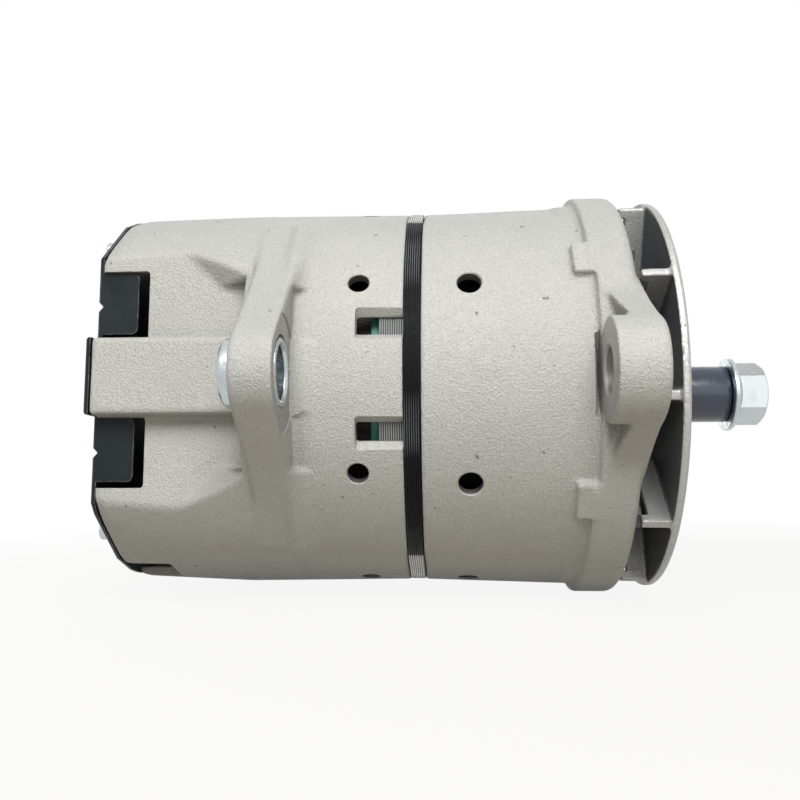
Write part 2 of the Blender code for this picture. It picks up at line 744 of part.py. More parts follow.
def rear_housing():
    look = cast_aluminium("rear_housing")
    open_end = BAND_WIDTH / 2.0 + GAP
    inside = CORE_RADIUS + GAP
    end = REAR_END_STATION
    wall_front = REAR_WALL_STATION
    wall_back = wall_front + REAR_WALL_THICKNESS
    rear_inside = REAR_RIM_RADIUS - DRUM_WALL
    seat = REAR_BEARING_RADIUS + GAP
    seat_front = REAR_BEARING_STATION - REAR_BEARING_WIDTH - GAP
    hub_back = wall_back + REAR_HUB_LENGTH
    bend = REAR_EDGE_ROUND * ROUND_BEND_SHARE
    outer_profile = [
        (at(-open_end), 0.0),
        (at(-open_end), BODY_RADIUS),
        (at(-REAR_DRUM_STATION), REAR_DRUM_RADIUS),
        (at(-REAR_RIM_STATION), REAR_RIM_RADIUS),
        (at(-end + bend), REAR_RIM_RADIUS - bend),
        (at(-end), REAR_RIM_RADIUS - REAR_EDGE_ROUND),
        (at(-end), 0.0),
    ]
    made = turned("rear_housing", outer_profile, look)
    reach = REAR_DRUM_RADIUS + CUT_OVERRUN
    cut(made, [facet_cutter()])
    lug = plate(
        "lug",
        lug_outline(REAR_BOSS_RADIUS, REAR_LUG_SHOULDER, REAR_LUG_WAIST, REAR_LUG_ROOT),
        at(-REAR_LUG_BACK),
        at(-REAR_LUG_FRONT),
    )
    rib = toward_facet(plate("rib", rib_outline(), at(-end), at(-REAR_LUG_BACK + RIB_OVERLAP)))
    join(made, [lug, rib])
    front_hollow = disc("hollow", at(-wall_front), at(-open_end + CUT_OVERRUN), inside, None, ROUND_SIDES)
    rear_hollow = disc("hollow", at(-end - CUT_OVERRUN), at(-wall_back), rear_inside, None, ROUND_SIDES)
    shelf_low = FACET_HEIGHT - FACET_WALL
    x_low = at(-end - CUT_OVERRUN * 2.0)
    x_high = at(-wall_back + CUT_OVERRUN)
    shelf = toward_facet(block("shelf", x_low, x_high, -reach, reach, shelf_low, reach))
    cut(rear_hollow, [shelf])
    bosses = []
    for degrees in COVER_SCREW_ANGLES:
        x_low = at(-end - CUT_OVERRUN * 2.0)
        x_high = at(-end + COVER_BOSS_LENGTH)
        bosses.append(
            rod("boss", x_low, x_high, COVER_BOSS_RADIUS, COVER_SCREW_CIRCLE, degrees, None, SMALL_SIDES)
        )
    cut(rear_hollow, bosses)
    cut(made, [front_hollow, rear_hollow])
    hub = disc("hub", at(-hub_back), at(-wall_back + GAP), REAR_HUB_RADIUS)
    posts = []
    for degrees in POST_ANGLES:
        x_low = at(-NEGATIVE_PLATE_STATION + GAP)
        posts.append(threaded_post(x_low, at(-wall_back + GAP), POST_CIRCLE, degrees))
    for circle in regulator_screw_circles():
        x_low = at(-REGULATOR_STATION + GAP)
        posts.append(threaded_post(x_low, at(-wall_back + GAP), circle, 0.0))
    cutters = side_flats(at(-end - CUT_OVERRUN), at(-open_end + CUT_OVERRUN), BODY_RADIUS)
    cutters += wall_windows(
        "window", at(-wall_back - GAP), at(-wall_front + CUT_OVERRUN), REAR_WINDOW_INNER, REAR_WINDOW_OUTER
    )
    cut(made, cutters)
    join(made, [hub] + posts)
    cutters = [
        disc("seat", at(-hub_back - CUT_OVERRUN), at(-seat_front), seat),
        disc("lip", at(-hub_back - CUT_OVERRUN), at(-wall_front + CUT_OVERRUN), REAR_LIP_RADIUS),
    ]
    cutters += vent_holes(at(-REAR_VENT_STATION))
    for sign in (1.0, -1.0):
        x_low = at(-end - CUT_OVERRUN)
        x_high = at(-end + WINDOW_LENGTH)
        low, high = sorted((sign * WINDOW_NEAR, sign * WINDOW_FAR))
        inner = shelf_low - CUT_OVERRUN
        cutters.append(toward_facet(block("window", x_low, x_high, low, high, inner, reach)))
        slot_low = at(-open_end - SLOT_LENGTH)
        slot_high = at(-open_end + CUT_OVERRUN)
        half = SLOT_WIDTH / 2.0
        rim = SLOT_RIM_WIDTH / 2.0
        depth = BODY_RADIUS - SLOT_RIM_DEPTH
        degrees = sign * SLOT_ANGLE
        thin = CORE_RADIUS - DRUM_WALL
        cutters.append(block("slot", slot_low, slot_high, -half, half, thin, reach, None, degrees))
        cutters.append(block("rim", slot_low, slot_high, -rim, rim, depth, reach, None, degrees))
    for degrees in SIDE_WINDOW_ANGLES:
        x_low = at(-end - CUT_OVERRUN)
        x_high = at(-end + WINDOW_LENGTH)
        half = SIDE_WINDOW_WIDTH / 2.0
        inner = rear_inside - CUT_OVERRUN
        cutters.append(block("window", x_low, x_high, -half, half, inner, reach, None, degrees))
    bore = BUSH_RADIUS + GAP
    x_low = at(-REAR_LUG_BACK - CUT_OVERRUN)
    x_high = at(-REAR_LUG_FRONT + CUT_OVERRUN)
    cutters.append(rod("bore", x_low, x_high, bore, HINGE_DISTANCE, 0.0, None, HUB_SIDES))
    for degrees in COVER_SCREW_ANGLES:
        hole = SCREW_RADIUS + GAP
        x_low = at(-end - CUT_OVERRUN)
        x_high = at(-end + SCREW_BITE * 2.0 + GAP)
        cutters.append(rod("hole", x_low, x_high, hole, COVER_SCREW_CIRCLE, degrees))
    for degrees in BOLT_ANGLES:
        hole = BOLT_RADIUS + GAP
        x_low = at(-wall_front - BOLT_BITE - GAP)
        x_high = at(-wall_front + CUT_OVERRUN)
        cutters.append(rod("hole", x_low, x_high, hole, BOLT_CIRCLE_RADIUS, degrees))
    for degrees in CORE_SCREW_ANGLES:
        hole = SCREW_RADIUS + GAP
        x_low = at(-wall_back - CUT_OVERRUN)
        x_high = at(-wall_front + CUT_OVERRUN)
        cutters.append(rod("hole", x_low, x_high, hole, CORE_SCREW_CIRCLE, degrees))
    return smooth(cut(made, cutters))


def stator_core():
    """Laminated core. Its middle band reaches the outside between the housings."""
    look = soft_iron("stator_core")
    half = CORE_LENGTH / 2.0
    band = BAND_WIDTH / 2.0
    profile = [
        (at(-half), CORE_BORE_RADIUS),
        (at(-half), CORE_RADIUS),
        (at(-band), CORE_RADIUS),
        (at(-band), BAND_RADIUS),
        (at(band), BAND_RADIUS),
        (at(band), CORE_RADIUS),
        (at(half), CORE_RADIUS),
        (at(half), CORE_BORE_RADIUS),
    ]
    made = turned("stator_core", profile, look)
    cutters = side_flats(at(-half - CUT_OVERRUN), at(half + CUT_OVERRUN), BODY_RADIUS)
    width = TOOTH_SLOT_WIDTH / 2.0
    low = CORE_BORE_RADIUS - CUT_OVERRUN
    high = CORE_BORE_RADIUS + TOOTH_SLOT_DEPTH
    for index in range(TOOTH_COUNT):
        degrees = 360.0 * index / TOOTH_COUNT
        x_low = at(-half - CUT_OVERRUN)
        x_high = at(half + CUT_OVERRUN)
        cutters.append(block("slot", x_low, x_high, -width, width, low, high, None, degrees))
    for degrees in BOLT_ANGLES:
        x_low = at(-half - CUT_OVERRUN)
        x_high = at(half + CUT_OVERRUN)
        cutters.append(rod("hole", x_low, x_high, BOLT_RADIUS + GAP, BOLT_CIRCLE_RADIUS, degrees))
    return smooth(cut(made, cutters))


def stator_winding():
    """Two crowns of end turns, joined by the bars that lie in the core's slots."""
    look = green_varnish("stator_winding")
    near = CORE_LENGTH / 2.0 + GAP
    far = near + CROWN_LENGTH
    sides = TOOTH_COUNT
    bulge = (CROWN_OUTER - CROWN_INNER) / 4.0
    made = None
    for sign in (1.0, -1.0):
        profile = [
            (at(sign * near), CROWN_INNER),
            (at(sign * (far - bulge)), CROWN_INNER),
            (at(sign * far), CROWN_INNER + bulge),
            (at(sign * far), CROWN_OUTER - bulge),
            (at(sign * (far - bulge)), CROWN_OUTER),
            (at(sign * near), CROWN_OUTER),
        ]
        crown = turned("stator_winding" if made is None else "crown", profile, look, sides)
        if made is None:
            made = crown
        else:
            other = crown
    width = COIL_BAR_WIDTH / 2.0
    bars = [other]
    low = CROWN_INNER + GAP
    high = CORE_BORE_RADIUS + TOOTH_SLOT_DEPTH - GAP * 2.0
    for index in range(TOOTH_COUNT):
        degrees = 360.0 * index / TOOTH_COUNT
        overlap = near + CROWN_LENGTH / 4.0
        bars.append(block("bar", at(-overlap), at(overlap), -width, width, low, high, None, degrees))
    return smooth(join(made, bars))


def bearing(prefix, middle, width, radius, bore, race_wall, ball_radius, balls):
    """Outer ring, inner ring, and a cage with its balls, all clear of each other."""
    half = width / 2.0
    pitch = (radius + bore) / 2.0
    groove = ball_radius + RACE_CLEARANCE
    reach = math.sqrt(groove ** 2 - (radius - race_wall - pitch) ** 2)
    steps = 2
    for part, sign, base, rim in (
        ("outer", 1.0, radius - race_wall, radius),
        ("inner", -1.0, bore + race_wall, bore),
    ):
        profile = [(at(middle - half), rim), (at(middle - half), base)]
        for index in range(steps + 1):
            offset = -reach + 2.0 * reach * index / steps
            depth = math.sqrt(max(groove ** 2 - offset ** 2, 0.0))
            profile.append((at(middle + offset), pitch + sign * depth))
        profile += [(at(middle + half), base), (at(middle + half), rim)]
        look = bright_steel(prefix + "_bearing_" + part)
        smooth(turned(prefix + "_bearing_" + part, profile, look, HUB_SIDES))
    cage_half = width * CAGE_WIDTH_SHARE / 2.0
    cage_wall = (radius - bore - race_wall * 2.0) * CAGE_WALL_SHARE / 2.0
    look = zinc_steel(prefix + "_ball_cage")
    low = at(middle - cage_half)
    high = at(middle + cage_half)
    cage = ring(prefix + "_ball_cage", low, high, pitch - cage_wall, pitch + cage_wall, look)
    beads = []
    for index in range(balls):
        shape = bmesh.new()
        bmesh.ops.create_uvsphere(shape, u_segments=BALL_SEGMENTS, v_segments=BALL_RINGS, radius=ball_radius)
        bead = object_from("ball", shape, None)
        y, z = around(pitch, 360.0 * index / balls)
        bead.data.transform(Matrix.Translation((at(middle), y, z)))
        beads.append(bead)
    smooth(join(cage, beads))


def front_bearing():
    middle = FRONT_BEARING_STATION + FRONT_BEARING_WIDTH / 2.0
    bore = SHAFT_RADIUS + GAP
    bearing(
        "front", middle, FRONT_BEARING_WIDTH, FRONT_BEARING_RADIUS, bore,
        RACE_WALL, FRONT_BALL_RADIUS, FRONT_BALLS,
    )


def rear_bearing():
    middle = -REAR_BEARING_STATION + REAR_BEARING_WIDTH / 2.0
    bore = TAIL_RADIUS + GAP
    bearing(
        "rear", middle, REAR_BEARING_WIDTH, REAR_BEARING_RADIUS, bore,
        REAR_RACE_WALL, REAR_BALL_RADIUS, REAR_BALLS,
    )


def bearing_retainer():
    look = zinc_steel("bearing_retainer")
    front = FRONT_BEARING_STATION - GAP * 2.0
    back = front - RETAINER_THICKNESS
    made = ring("bearing_retainer", at(back), at(front), RETAINER_INNER, RETAINER_OUTER, look)
    holes = []
    for degrees in RETAINER_SCREW_ANGLES:
        hole = SCREW_RADIUS + GAP
        x_low = at(back - CUT_OVERRUN)
        x_high = at(front + CUT_OVERRUN)
        holes.append(rod("hole", x_low, x_high, hole, RETAINER_SCREW_CIRCLE, degrees))
    smooth(cut(made, holes))
    for index, degrees in enumerate(RETAINER_SCREW_ANGLES):
        name = "retainer_screw_" + str(index + 1)
        length = RETAINER_THICKNESS + SCREW_BITE + GAP
        screw(
            name, at(back - GAP), 1.0, length, RETAINER_SCREW_CIRCLE, degrees,
            SCREW_RADIUS, SCREW_HEAD_RADIUS, SCREW_HEAD_HEIGHT, zinc_steel(name),
        )


def through_bolts():
    front = FRONT_DRUM_LENGTH + COLLAR_LENGTH
    length = front + REAR_WALL_STATION + BOLT_BITE
    for index, degrees in enumerate(BOLT_ANGLES):
        name = "through_bolt_" + str(index + 1)
        screw(
            name, at(front + GAP), -1.0, length, BOLT_CIRCLE_RADIUS, degrees,
            BOLT_RADIUS, BOLT_HEAD_RADIUS, BOLT_HEAD_HEIGHT, zinc_steel(name),
        )


def sliding_bush():
    look = zinc_steel("sliding_bush")
    front = -REAR_LUG_FRONT - BUSH_RECESS
    back = front - BUSH_LENGTH
    start = BUSH_SPLIT_AT + BUSH_SPLIT_ANGLE / 2.0
    sweep = 360.0 - BUSH_SPLIT_ANGLE
    profile = [
        (at(back), BUSH_BORE_RADIUS),
        (at(back), BUSH_RADIUS - BUSH_CHAMFER),
        (at(back + BUSH_CHAMFER), BUSH_RADIUS),
        (at(front), BUSH_RADIUS),
        (at(front), BUSH_BORE_RADIUS),
    ]
    made = turned("sliding_bush", profile, look, HUB_SIDES, start, sweep)
    made.location = (0.0, -HINGE_DISTANCE, 0.0)
    return smooth(made)


def shaft():
    look = bright_steel("shaft")
    nose = FRONT_BEARING_STATION + FRONT_BEARING_WIDTH + GAP
    tail = REAR_BEARING_STATION - REAR_BEARING_WIDTH - GAP
    thread_step = THREAD_START_STATION
    profile = [
        (at(-SHAFT_TAIL_STATION), 0.0),
        (at(-SHAFT_TAIL_STATION), TAIL_RADIUS - SHAFT_CHAMFER),
        (at(-SHAFT_TAIL_STATION + SHAFT_CHAMFER), TAIL_RADIUS),
        (at(-tail), TAIL_RADIUS),
        (at(-tail), SHAFT_RADIUS),
        (at(nose), SHAFT_RADIUS),
        (at(nose), NOSE_RADIUS),
        (at(thread_step), NOSE_RADIUS),
        (at(thread_step + SHAFT_CHAMFER), THREAD_RADIUS),
        (at(SHAFT_END_STATION - SHAFT_CHAMFER), THREAD_RADIUS),
        (at(SHAFT_END_STATION), THREAD_RADIUS - SHAFT_CHAMFER),
        (at(SHAFT_END_STATION), 0.0),
    ]
    made = turned("shaft", profile, look, HUB_SIDES)
    return smooth(cut(made, [key_space("keyway", GAP)]))


def key_space(name, clearance, look=None):
    """The key's own box, or with a clearance the room it needs in the shaft and the fan."""
    middle = (FAN_HUB_BACK + FAN_HUB_FRONT) / 2.0
    half = KEY_LENGTH / 2.0 + clearance
    width = KEY_WIDTH / 2.0 + clearance
    low = NOSE_RADIUS - KEY_HEIGHT / 2.0 - clearance
    high = NOSE_RADIUS + KEY_HEIGHT / 2.0 + clearance
    turn = 90.0 + FAN_PHASE
    return block(name, at(middle - half), at(middle + half), -width, width, low, high, look, turn)


def fan_key():
    return key_space("fan_key", 0.0, bright_steel("fan_key"))


def claws(root_station, tip_station, phase):
    """Six tapering fingers that reach along the rotor under the stator."""
    fingers = []
    for index in range(CLAW_COUNT):
        degrees = phase + 360.0 * index / CLAW_COUNT
        shape = bmesh.new()
        corners = []
        for station, width, depth in (
            (root_station, CLAW_ROOT_WIDTH, CLAW_ROOT_DEPTH),
            (tip_station, CLAW_TIP_WIDTH, CLAW_TIP_DEPTH),
        ):
            half = width / 2.0
            lift = math.sqrt(POLE_RADIUS ** 2 - half ** 2)
            inner = POLE_RADIUS - depth
            outline = [(-half, inner), (-half, lift), (0.0, POLE_RADIUS), (half, lift), (half, inner)]
            corners.append([shape.verts.new((at(station), -out, up)) for up, out in outline])
        shape.faces.new(corners[0])
        shape.faces.new(corners[1])
        count = len(corners[0])
        for step in range(count):
            after = (step + 1) % count
            shape.faces.new([corners[0][step], corners[0][after], corners[1][after], corners[1][step]])
        finger = object_from("claw", shape, None)
        finger.data.transform(Matrix.Rotation(math.radians(-degrees), 4, "X"))
        fingers.append(finger)
    return fingers


def drive_pole():
    """The pole half pressed on the shaft, with the hub that turns inside the coil's core."""
    look = soft_iron("drive_pole")
    front = ROTOR_BACK_STATION
    back = front - POLE_THICKNESS
    bore = SHAFT_RADIUS + GAP
    profile = [
        (at(-ROTOR_HUB_BACK), bore),
        (at(-ROTOR_HUB_BACK), ROTOR_HUB_RADIUS),
        (at(back), ROTOR_HUB_RADIUS),
        (at(back), POLE_ROOT_RADIUS + CLAW_TIP_DEPTH),
        (at(front), POLE_ROOT_RADIUS + CLAW_TIP_DEPTH),
        (at(front), bore),
    ]
    made = turned("drive_pole", profile, look, HUB_SIDES)
    return smooth(join(made, claws(front, -POLE_TIP_STATION, 0.0)))


def ring_pole():
    """The pole half without a hub, which hangs on the drive pole by the joining ring."""
    look = soft_iron("ring_pole")
    back = -ROTOR_BACK_STATION
    front = back + POLE_THICKNESS
    outer = POLE_ROOT_RADIUS + CLAW_TIP_DEPTH
    made = ring("ring_pole", at(back), at(front), RING_POLE_INNER, outer, look)
    return smooth(join(made, claws(back, POLE_TIP_STATION, 180.0 / CLAW_COUNT)))


def joining_ring():
    """Non-magnetic ring under the claws that ties the two pole halves together."""
    look = bright_steel("pole_joining_ring")
    low = -ROTOR_BACK_STATION + POLE_THICKNESS + GAP
    high = ROTOR_BACK_STATION - POLE_THICKNESS - GAP
    outer = min(JOINING_RING_OUTER, POLE_RADIUS - CLAW_ROOT_DEPTH - GAP)
    return smooth(ring("pole_joining_ring", at(low), at(high), JOINING_RING_INNER, outer, look))


def field_core():
    """Stationary iron tube that carries the coil, footed on the rear wall."""
    look = soft_iron("field_core")
    foot_back = -REAR_WALL_STATION + GAP
    foot_front = foot_back + CORE_FOOT_THICKNESS
    flange_back = -COIL_BACK - CORE_FLANGE_THICKNESS
    inner = ROTOR_HUB_RADIUS + AIR_GAP
    outer = inner + CORE_TUBE_WALL
    flange = COIL_OUTER - AIR_GAP
    profile = [
        (at(foot_back), inner),
        (at(foot_back), CORE_FOOT_RADIUS),
        (at(foot_front), CORE_FOOT_RADIUS),
        (at(foot_front), outer),
        (at(flange_back), outer),
        (at(flange_back), flange),
        (at(-COIL_BACK - GAP), flange),
        (at(-COIL_BACK - GAP), outer),
        (at(COIL_FRONT), outer),
        (at(COIL_FRONT), inner),
    ]
    made = turned("field_core", profile, look, HUB_SIDES)
    holes = []
    for degrees in CORE_SCREW_ANGLES:
        hole = SCREW_RADIUS + GAP
        x_low = at(foot_back - CUT_OVERRUN)
        x_high = at(foot_back + SCREW_BITE + GAP * 2.0)
        holes.append(rod("hole", x_low, x_high, hole, CORE_SCREW_CIRCLE, degrees))
    smooth(cut(made, holes))
    seat = -REAR_WALL_STATION - REAR_WALL_THICKNESS - GAP
    for index, degrees in enumerate(CORE_SCREW_ANGLES):
        name = "core_screw_" + str(index + 1)
        length = REAR_WALL_THICKNESS + SCREW_BITE + GAP
        screw(
            name, at(seat), 1.0, length, CORE_SCREW_CIRCLE, degrees,
            SCREW_RADIUS, SCREW_HEAD_RADIUS, SCREW_HEAD_HEIGHT, zinc_steel(name),
        )


def field_coil():
    look = copper_wire("field_coil")
    inner = ROTOR_HUB_RADIUS + AIR_GAP + CORE_TUBE_WALL + GAP
    return smooth(ring("field_coil", at(-COIL_BACK), at(COIL_FRONT), inner, COIL_OUTER, look))


def rectifier():
    """Two stacked cooling plates on the rear wall's posts, with three diodes on each."""
    negative_front = -NEGATIVE_PLATE_STATION
    positive_front = negative_front - PLATE_THICKNESS - PLATE_SPACING
    for name, front in (("negative_heat_sink", negative_front), ("positive_heat_sink", positive_front)):
        back = front - PLATE_THICKNESS
        look = cast_aluminium(name)
        made = arc_ring(
            name, at(back), at(front), PLATE_INNER, PLATE_OUTER, look, SMALL_SIDES, PLATE_START, PLATE_SWEEP
        )
        holes = []
        for degrees in POST_ANGLES:
            hole = SCREW_RADIUS + GAP
            x_low = at(back - CUT_OVERRUN)
            x_high = at(front + CUT_OVERRUN)
            holes.append(rod("hole", x_low, x_high, hole, POST_CIRCLE, degrees))
        smooth(cut(made, holes))
    for index, degrees in enumerate(DIODE_ANGLES * 2):
        name = "diode_" + str(index + 1)
        front = negative_front if index < len(DIODE_ANGLES) else positive_front
        low = front + GAP
        high = low + DIODE_HEIGHT
        smooth(rod(name, at(low), at(high), DIODE_RADIUS, DIODE_CIRCLE, degrees, bright_steel(name)))
    for index, degrees in enumerate(POST_ANGLES):
        name = "plate_insulator_" + str(index + 1)
        low = positive_front + GAP
        high = negative_front - PLATE_THICKNESS - GAP
        look = dark_plastic(name)
        made = ring(name, at(low), at(high), SCREW_RADIUS + GAP, INSULATOR_RADIUS, look, TINY_SIDES)
        y, z = around(POST_CIRCLE, degrees)
        made.data.transform(Matrix.Translation((0.0, y, z)))
        smooth(made)
        name = "rectifier_screw_" + str(index + 1)
        seat = positive_front - PLATE_THICKNESS - GAP
        length = negative_front - seat + SCREW_BITE
        screw(
            name, at(seat), 1.0, length, POST_CIRCLE, degrees,
            SCREW_RADIUS, SCREW_HEAD_RADIUS, SCREW_HEAD_HEIGHT, zinc_steel(name),
        )


def regulator_screw_circles():
    reach = REGULATOR_HEIGHT * REGULATOR_SCREW_SHARE
    return (REGULATOR_CENTRE + reach, REGULATOR_CENTRE - reach)


def voltage_regulator():
    """Potted box on two posts of the rear wall, on the hinge side, with an ear at each end."""
    look = dark_plastic("voltage_regulator")
    front = -REGULATOR_STATION
    back = front - REGULATOR_DEPTH
    half = REGULATOR_WIDTH / 2.0
    reach = REGULATOR_HEIGHT / 2.0
    low = REGULATOR_CENTRE - reach
    high = REGULATOR_CENTRE + reach
    made = block("voltage_regulator", at(back), at(front), -half, half, low, high, look)
    ear_back = front - REGULATOR_DEPTH * REGULATOR_EAR_SHARE
    ear = (reach - REGULATOR_HEIGHT * REGULATOR_SCREW_SHARE) * 2.0
    cutters = []
    wide = half + CUT_OVERRUN
    for out_low, out_high in ((low - CUT_OVERRUN, low + ear), (high - ear, high + CUT_OVERRUN)):
        cutters.append(block("step", at(back - CUT_OVERRUN), at(ear_back), -wide, wide, out_low, out_high))
    for circle in regulator_screw_circles():
        x_low = at(back - CUT_OVERRUN)
        cutters.append(rod("hole", x_low, at(front + CUT_OVERRUN), SCREW_RADIUS + GAP, circle, 0.0))
    smooth(cut(made, cutters))
    for index, circle in enumerate(regulator_screw_circles()):
        name = "regulator_screw_" + str(index + 1)
        length = front - ear_back + GAP + SCREW_BITE
        screw(
            name, at(ear_back - GAP), 1.0, length, circle, 0.0,
            SCREW_RADIUS, SCREW_HEAD_RADIUS, SCREW_HEAD_HEIGHT, zinc_steel(name),
        )


def tab_outline(sign):
    """Plan of a tab that fills a window of the rear housing, with rounded free corners."""
    back = at(-REAR_END_STATION - GAP - COVER_THICKNESS / 2.0)
    front = at(-REAR_END_STATION - GAP + TAB_LENGTH)
    near = WINDOW_NEAR + TAB_SIDE_GAP
    far = WINDOW_FAR - TAB_SIDE_GAP
    points = [(back, near), (back, far)]
    steps = 3
    for low_up, start in ((far - TAB_CORNER, 90.0), (near + TAB_CORNER, 0.0)):
        for index in range(steps + 1):
            turn = math.radians(start - 90.0 * index / steps)
            x = front - TAB_CORNER + TAB_CORNER * math.cos(turn)
            points.append((x, low_up + TAB_CORNER * math.sin(turn)))
    return [(x, sign * up) for x, up in points]


def rear_cover():
    """Pressed steel plate that closes the rear, with two tabs bent into the windows."""
    look = black_paint("rear_cover")
    front = -REAR_END_STATION - GAP
    back = front - COVER_THICKNESS
    made = disc("rear_cover", at(back), at(front), COVER_RIM_RADIUS, look, ROUND_SIDES)
    reach = COVER_RIM_RADIUS + CUT_OVERRUN
    x_low = at(back - CUT_OVERRUN)
    x_high = at(front + CUT_OVERRUN)
    facet = toward_facet(block("facet", x_low, x_high, -reach, reach, FACET_HEIGHT, reach))
    cut(made, [facet])
    bump = toward_facet(plate("bump", rib_outline(), at(back), at(front)))
    tabs = []
    for sign in (1.0, -1.0):
        high = FACET_HEIGHT - TAB_DROP
        tabs.append(toward_facet(slab("tab", tab_outline(sign), high - TAB_THICKNESS, high)))
    join(made, [bump] + tabs)
    cutters = side_flats(at(back - CUT_OVERRUN), at(front + CUT_OVERRUN), BODY_RADIUS)
    for middle in COVER_SLOT_ANGLES:
        start = middle - COVER_SLOT_HALF_ANGLE
        sweep = COVER_SLOT_HALF_ANGLE * 2.0
        cutters.append(
            arc_ring("slot", x_low, x_high, COVER_SLOT_INNER, COVER_SLOT_OUTER, None, 2, start, sweep)
        )
    cutters.append(disc("hole", x_low, x_high, COVER_HUB_HOLE, None, SMALL_SIDES))
    for degrees in COVER_SCREW_ANGLES:
        hole = SCREW_RADIUS + GAP
        cutters.append(rod("hole", x_low, x_high, hole, COVER_SCREW_CIRCLE, degrees))
    hole = TERMINAL_INSULATOR_RADIUS - TERMINAL_INSULATOR_HEIGHT / 2.0 + GAP
    cutters.append(rod("hole", x_low, x_high, hole, TERMINAL_CIRCLE, TERMINAL_ANGLE, None, SMALL_SIDES))
    smooth(cut(made, cutters))
    for index, degrees in enumerate(COVER_SCREW_ANGLES):
        name = "cover_screw_" + str(index + 1)
        length = COVER_THICKNESS + SCREW_BITE * 2.0
        screw(
            name, at(back - GAP), 1.0, length, COVER_SCREW_CIRCLE, degrees,
            SCREW_RADIUS, SCREW_HEAD_RADIUS, SCREW_HEAD_HEIGHT, zinc_steel(name),
        )


def output_terminal():
    """Stud from the positive plate through the cover, with its insulator and nut."""
    plate_back = -NEGATIVE_PLATE_STATION - PLATE_THICKNESS * 2.0 - PLATE_SPACING
    cover_back = -REAR_END_STATION - GAP - COVER_THICKNESS
    tip = cover_back - TERMINAL_LENGTH
    y, z = around(TERMINAL_CIRCLE, TERMINAL_ANGLE)
    move = Matrix.Translation((0.0, y, z))
    base = plate_back - GAP
    foot = base - COVER_THICKNESS * 2.0
    profile = [
        (at(tip), 0.0),
        (at(tip), TERMINAL_RADIUS - SHAFT_CHAMFER),
        (at(tip + SHAFT_CHAMFER), TERMINAL_RADIUS),
        (at(foot), TERMINAL_RADIUS),
        (at(foot), TERMINAL_FLAT_RADIUS),
        (at(base), TERMINAL_FLAT_RADIUS),
        (at(base), 0.0),
    ]
    stud = turned("output_stud", profile, copper_wire("output_stud"), SMALL_SIDES)
    stud.data.transform(move)
    smooth(stud)
    bore = TERMINAL_RADIUS + GAP
    neck = TERMINAL_INSULATOR_RADIUS - TERMINAL_INSULATOR_HEIGHT / 2.0
    seat = cover_back - GAP
    top = seat - TERMINAL_INSULATOR_HEIGHT
    profile = [
        (at(top), bore),
        (at(top), TERMINAL_INSULATOR_RADIUS),
        (at(seat), TERMINAL_INSULATOR_RADIUS),
        (at(seat), neck),
        (at(foot - GAP), neck),
        (at(foot - GAP), bore),
    ]
    insulator = turned("output_insulator", profile, dark_plastic("output_insulator"), SMALL_SIDES)
    insulator.data.transform(move)
    smooth(insulator)
    low = top - GAP - TERMINAL_NUT_HEIGHT
    look = zinc_steel("output_nut")
    nut = plate("output_nut", hexagon(TERMINAL_NUT_RADIUS), at(low), at(top - GAP), look)
    hole = disc("hole", at(low - CUT_OVERRUN), at(top + CUT_OVERRUN), bore, None, SMALL_SIDES)
    cut(nut, [hole])
    nut.data.transform(move)
    return smooth(nut)


def hexagon(corner):
    """Outline with a flat side towards the hinge."""
    points = []
    for index in range(6):
        turn = math.radians(30.0 + 60.0 * index)
        points.append((corner * math.sin(turn), corner * math.cos(turn)))
    return points


def fan_spacer():
    look = bright_steel("fan_spacer")
    low = FRONT_BEARING_STATION + FRONT_BEARING_WIDTH + GAP
    high = FAN_HUB_BACK - GAP
    bore = NOSE_RADIUS + GAP
    return smooth(ring("fan_spacer", at(low), at(high), bore, FAN_SPACER_RADIUS, look))


def fan():
    """Cast radial fan: a front disc with straight blades on its back."""
    look = cast_aluminium("fan")
    bore = NOSE_RADIUS + GAP
    disc_back = FAN_DISC_STATION
    disc_front = disc_back + FAN_DISC_THICKNESS
    web = FAN_DISC_THICKNESS / 2.0
    profile = [
        (at(FAN_HUB_BACK), bore),
        (at(FAN_HUB_BACK), FAN_HUB_RADIUS),
        (at(disc_back - web), FAN_HUB_RADIUS + web),
        (at(disc_back), FAN_HUB_RADIUS + FAN_DISC_THICKNESS),
        (at(disc_back), FAN_RADIUS),
        (at(disc_front), FAN_RADIUS),
        (at(disc_front), FAN_HUB_RADIUS + FAN_DISC_THICKNESS),
        (at(FAN_HUB_FRONT), FAN_HUB_RADIUS),
        (at(FAN_HUB_FRONT), bore),
    ]
    made = turned("fan", profile, look)
    blades = []
    half = FAN_BLADE_THICKNESS / 2.0
    tip = math.sqrt(FAN_RADIUS ** 2 - half ** 2) - GAP
    for index in range(FAN_BLADES):
        degrees = FAN_PHASE + 360.0 * index / FAN_BLADES
        x_low = at(FAN_BLADE_BACK)
        x_high = at(disc_back + web)
        blades.append(block("blade", x_low, x_high, -half, half, FAN_BLADE_INNER, tip, None, degrees))
    join(made, blades)
    return smooth(cut(made, [key_space("keyway", GAP)]))


def pulley_spacer():
    """Black sleeve that keeps the place of the pulley on the shaft."""
    look = black_paint("pulley_spacer")
    low = FAN_HUB_FRONT + GAP
    high = SHAFT_END_STATION - NUT_HEIGHT - GAP
    bore = NOSE_RADIUS + GAP
    profile = [
        (at(low), bore),
        (at(low), SLEEVE_RADIUS - SLEEVE_ROUND),
        (at(low + SLEEVE_ROUND), SLEEVE_RADIUS),
        (at(high - SLEEVE_ROUND), SLEEVE_RADIUS),
        (at(high), SLEEVE_RADIUS - SLEEVE_ROUND),
        (at(high), bore),
    ]
    return smooth(turned("pulley_spacer", profile, look, HUB_SIDES))


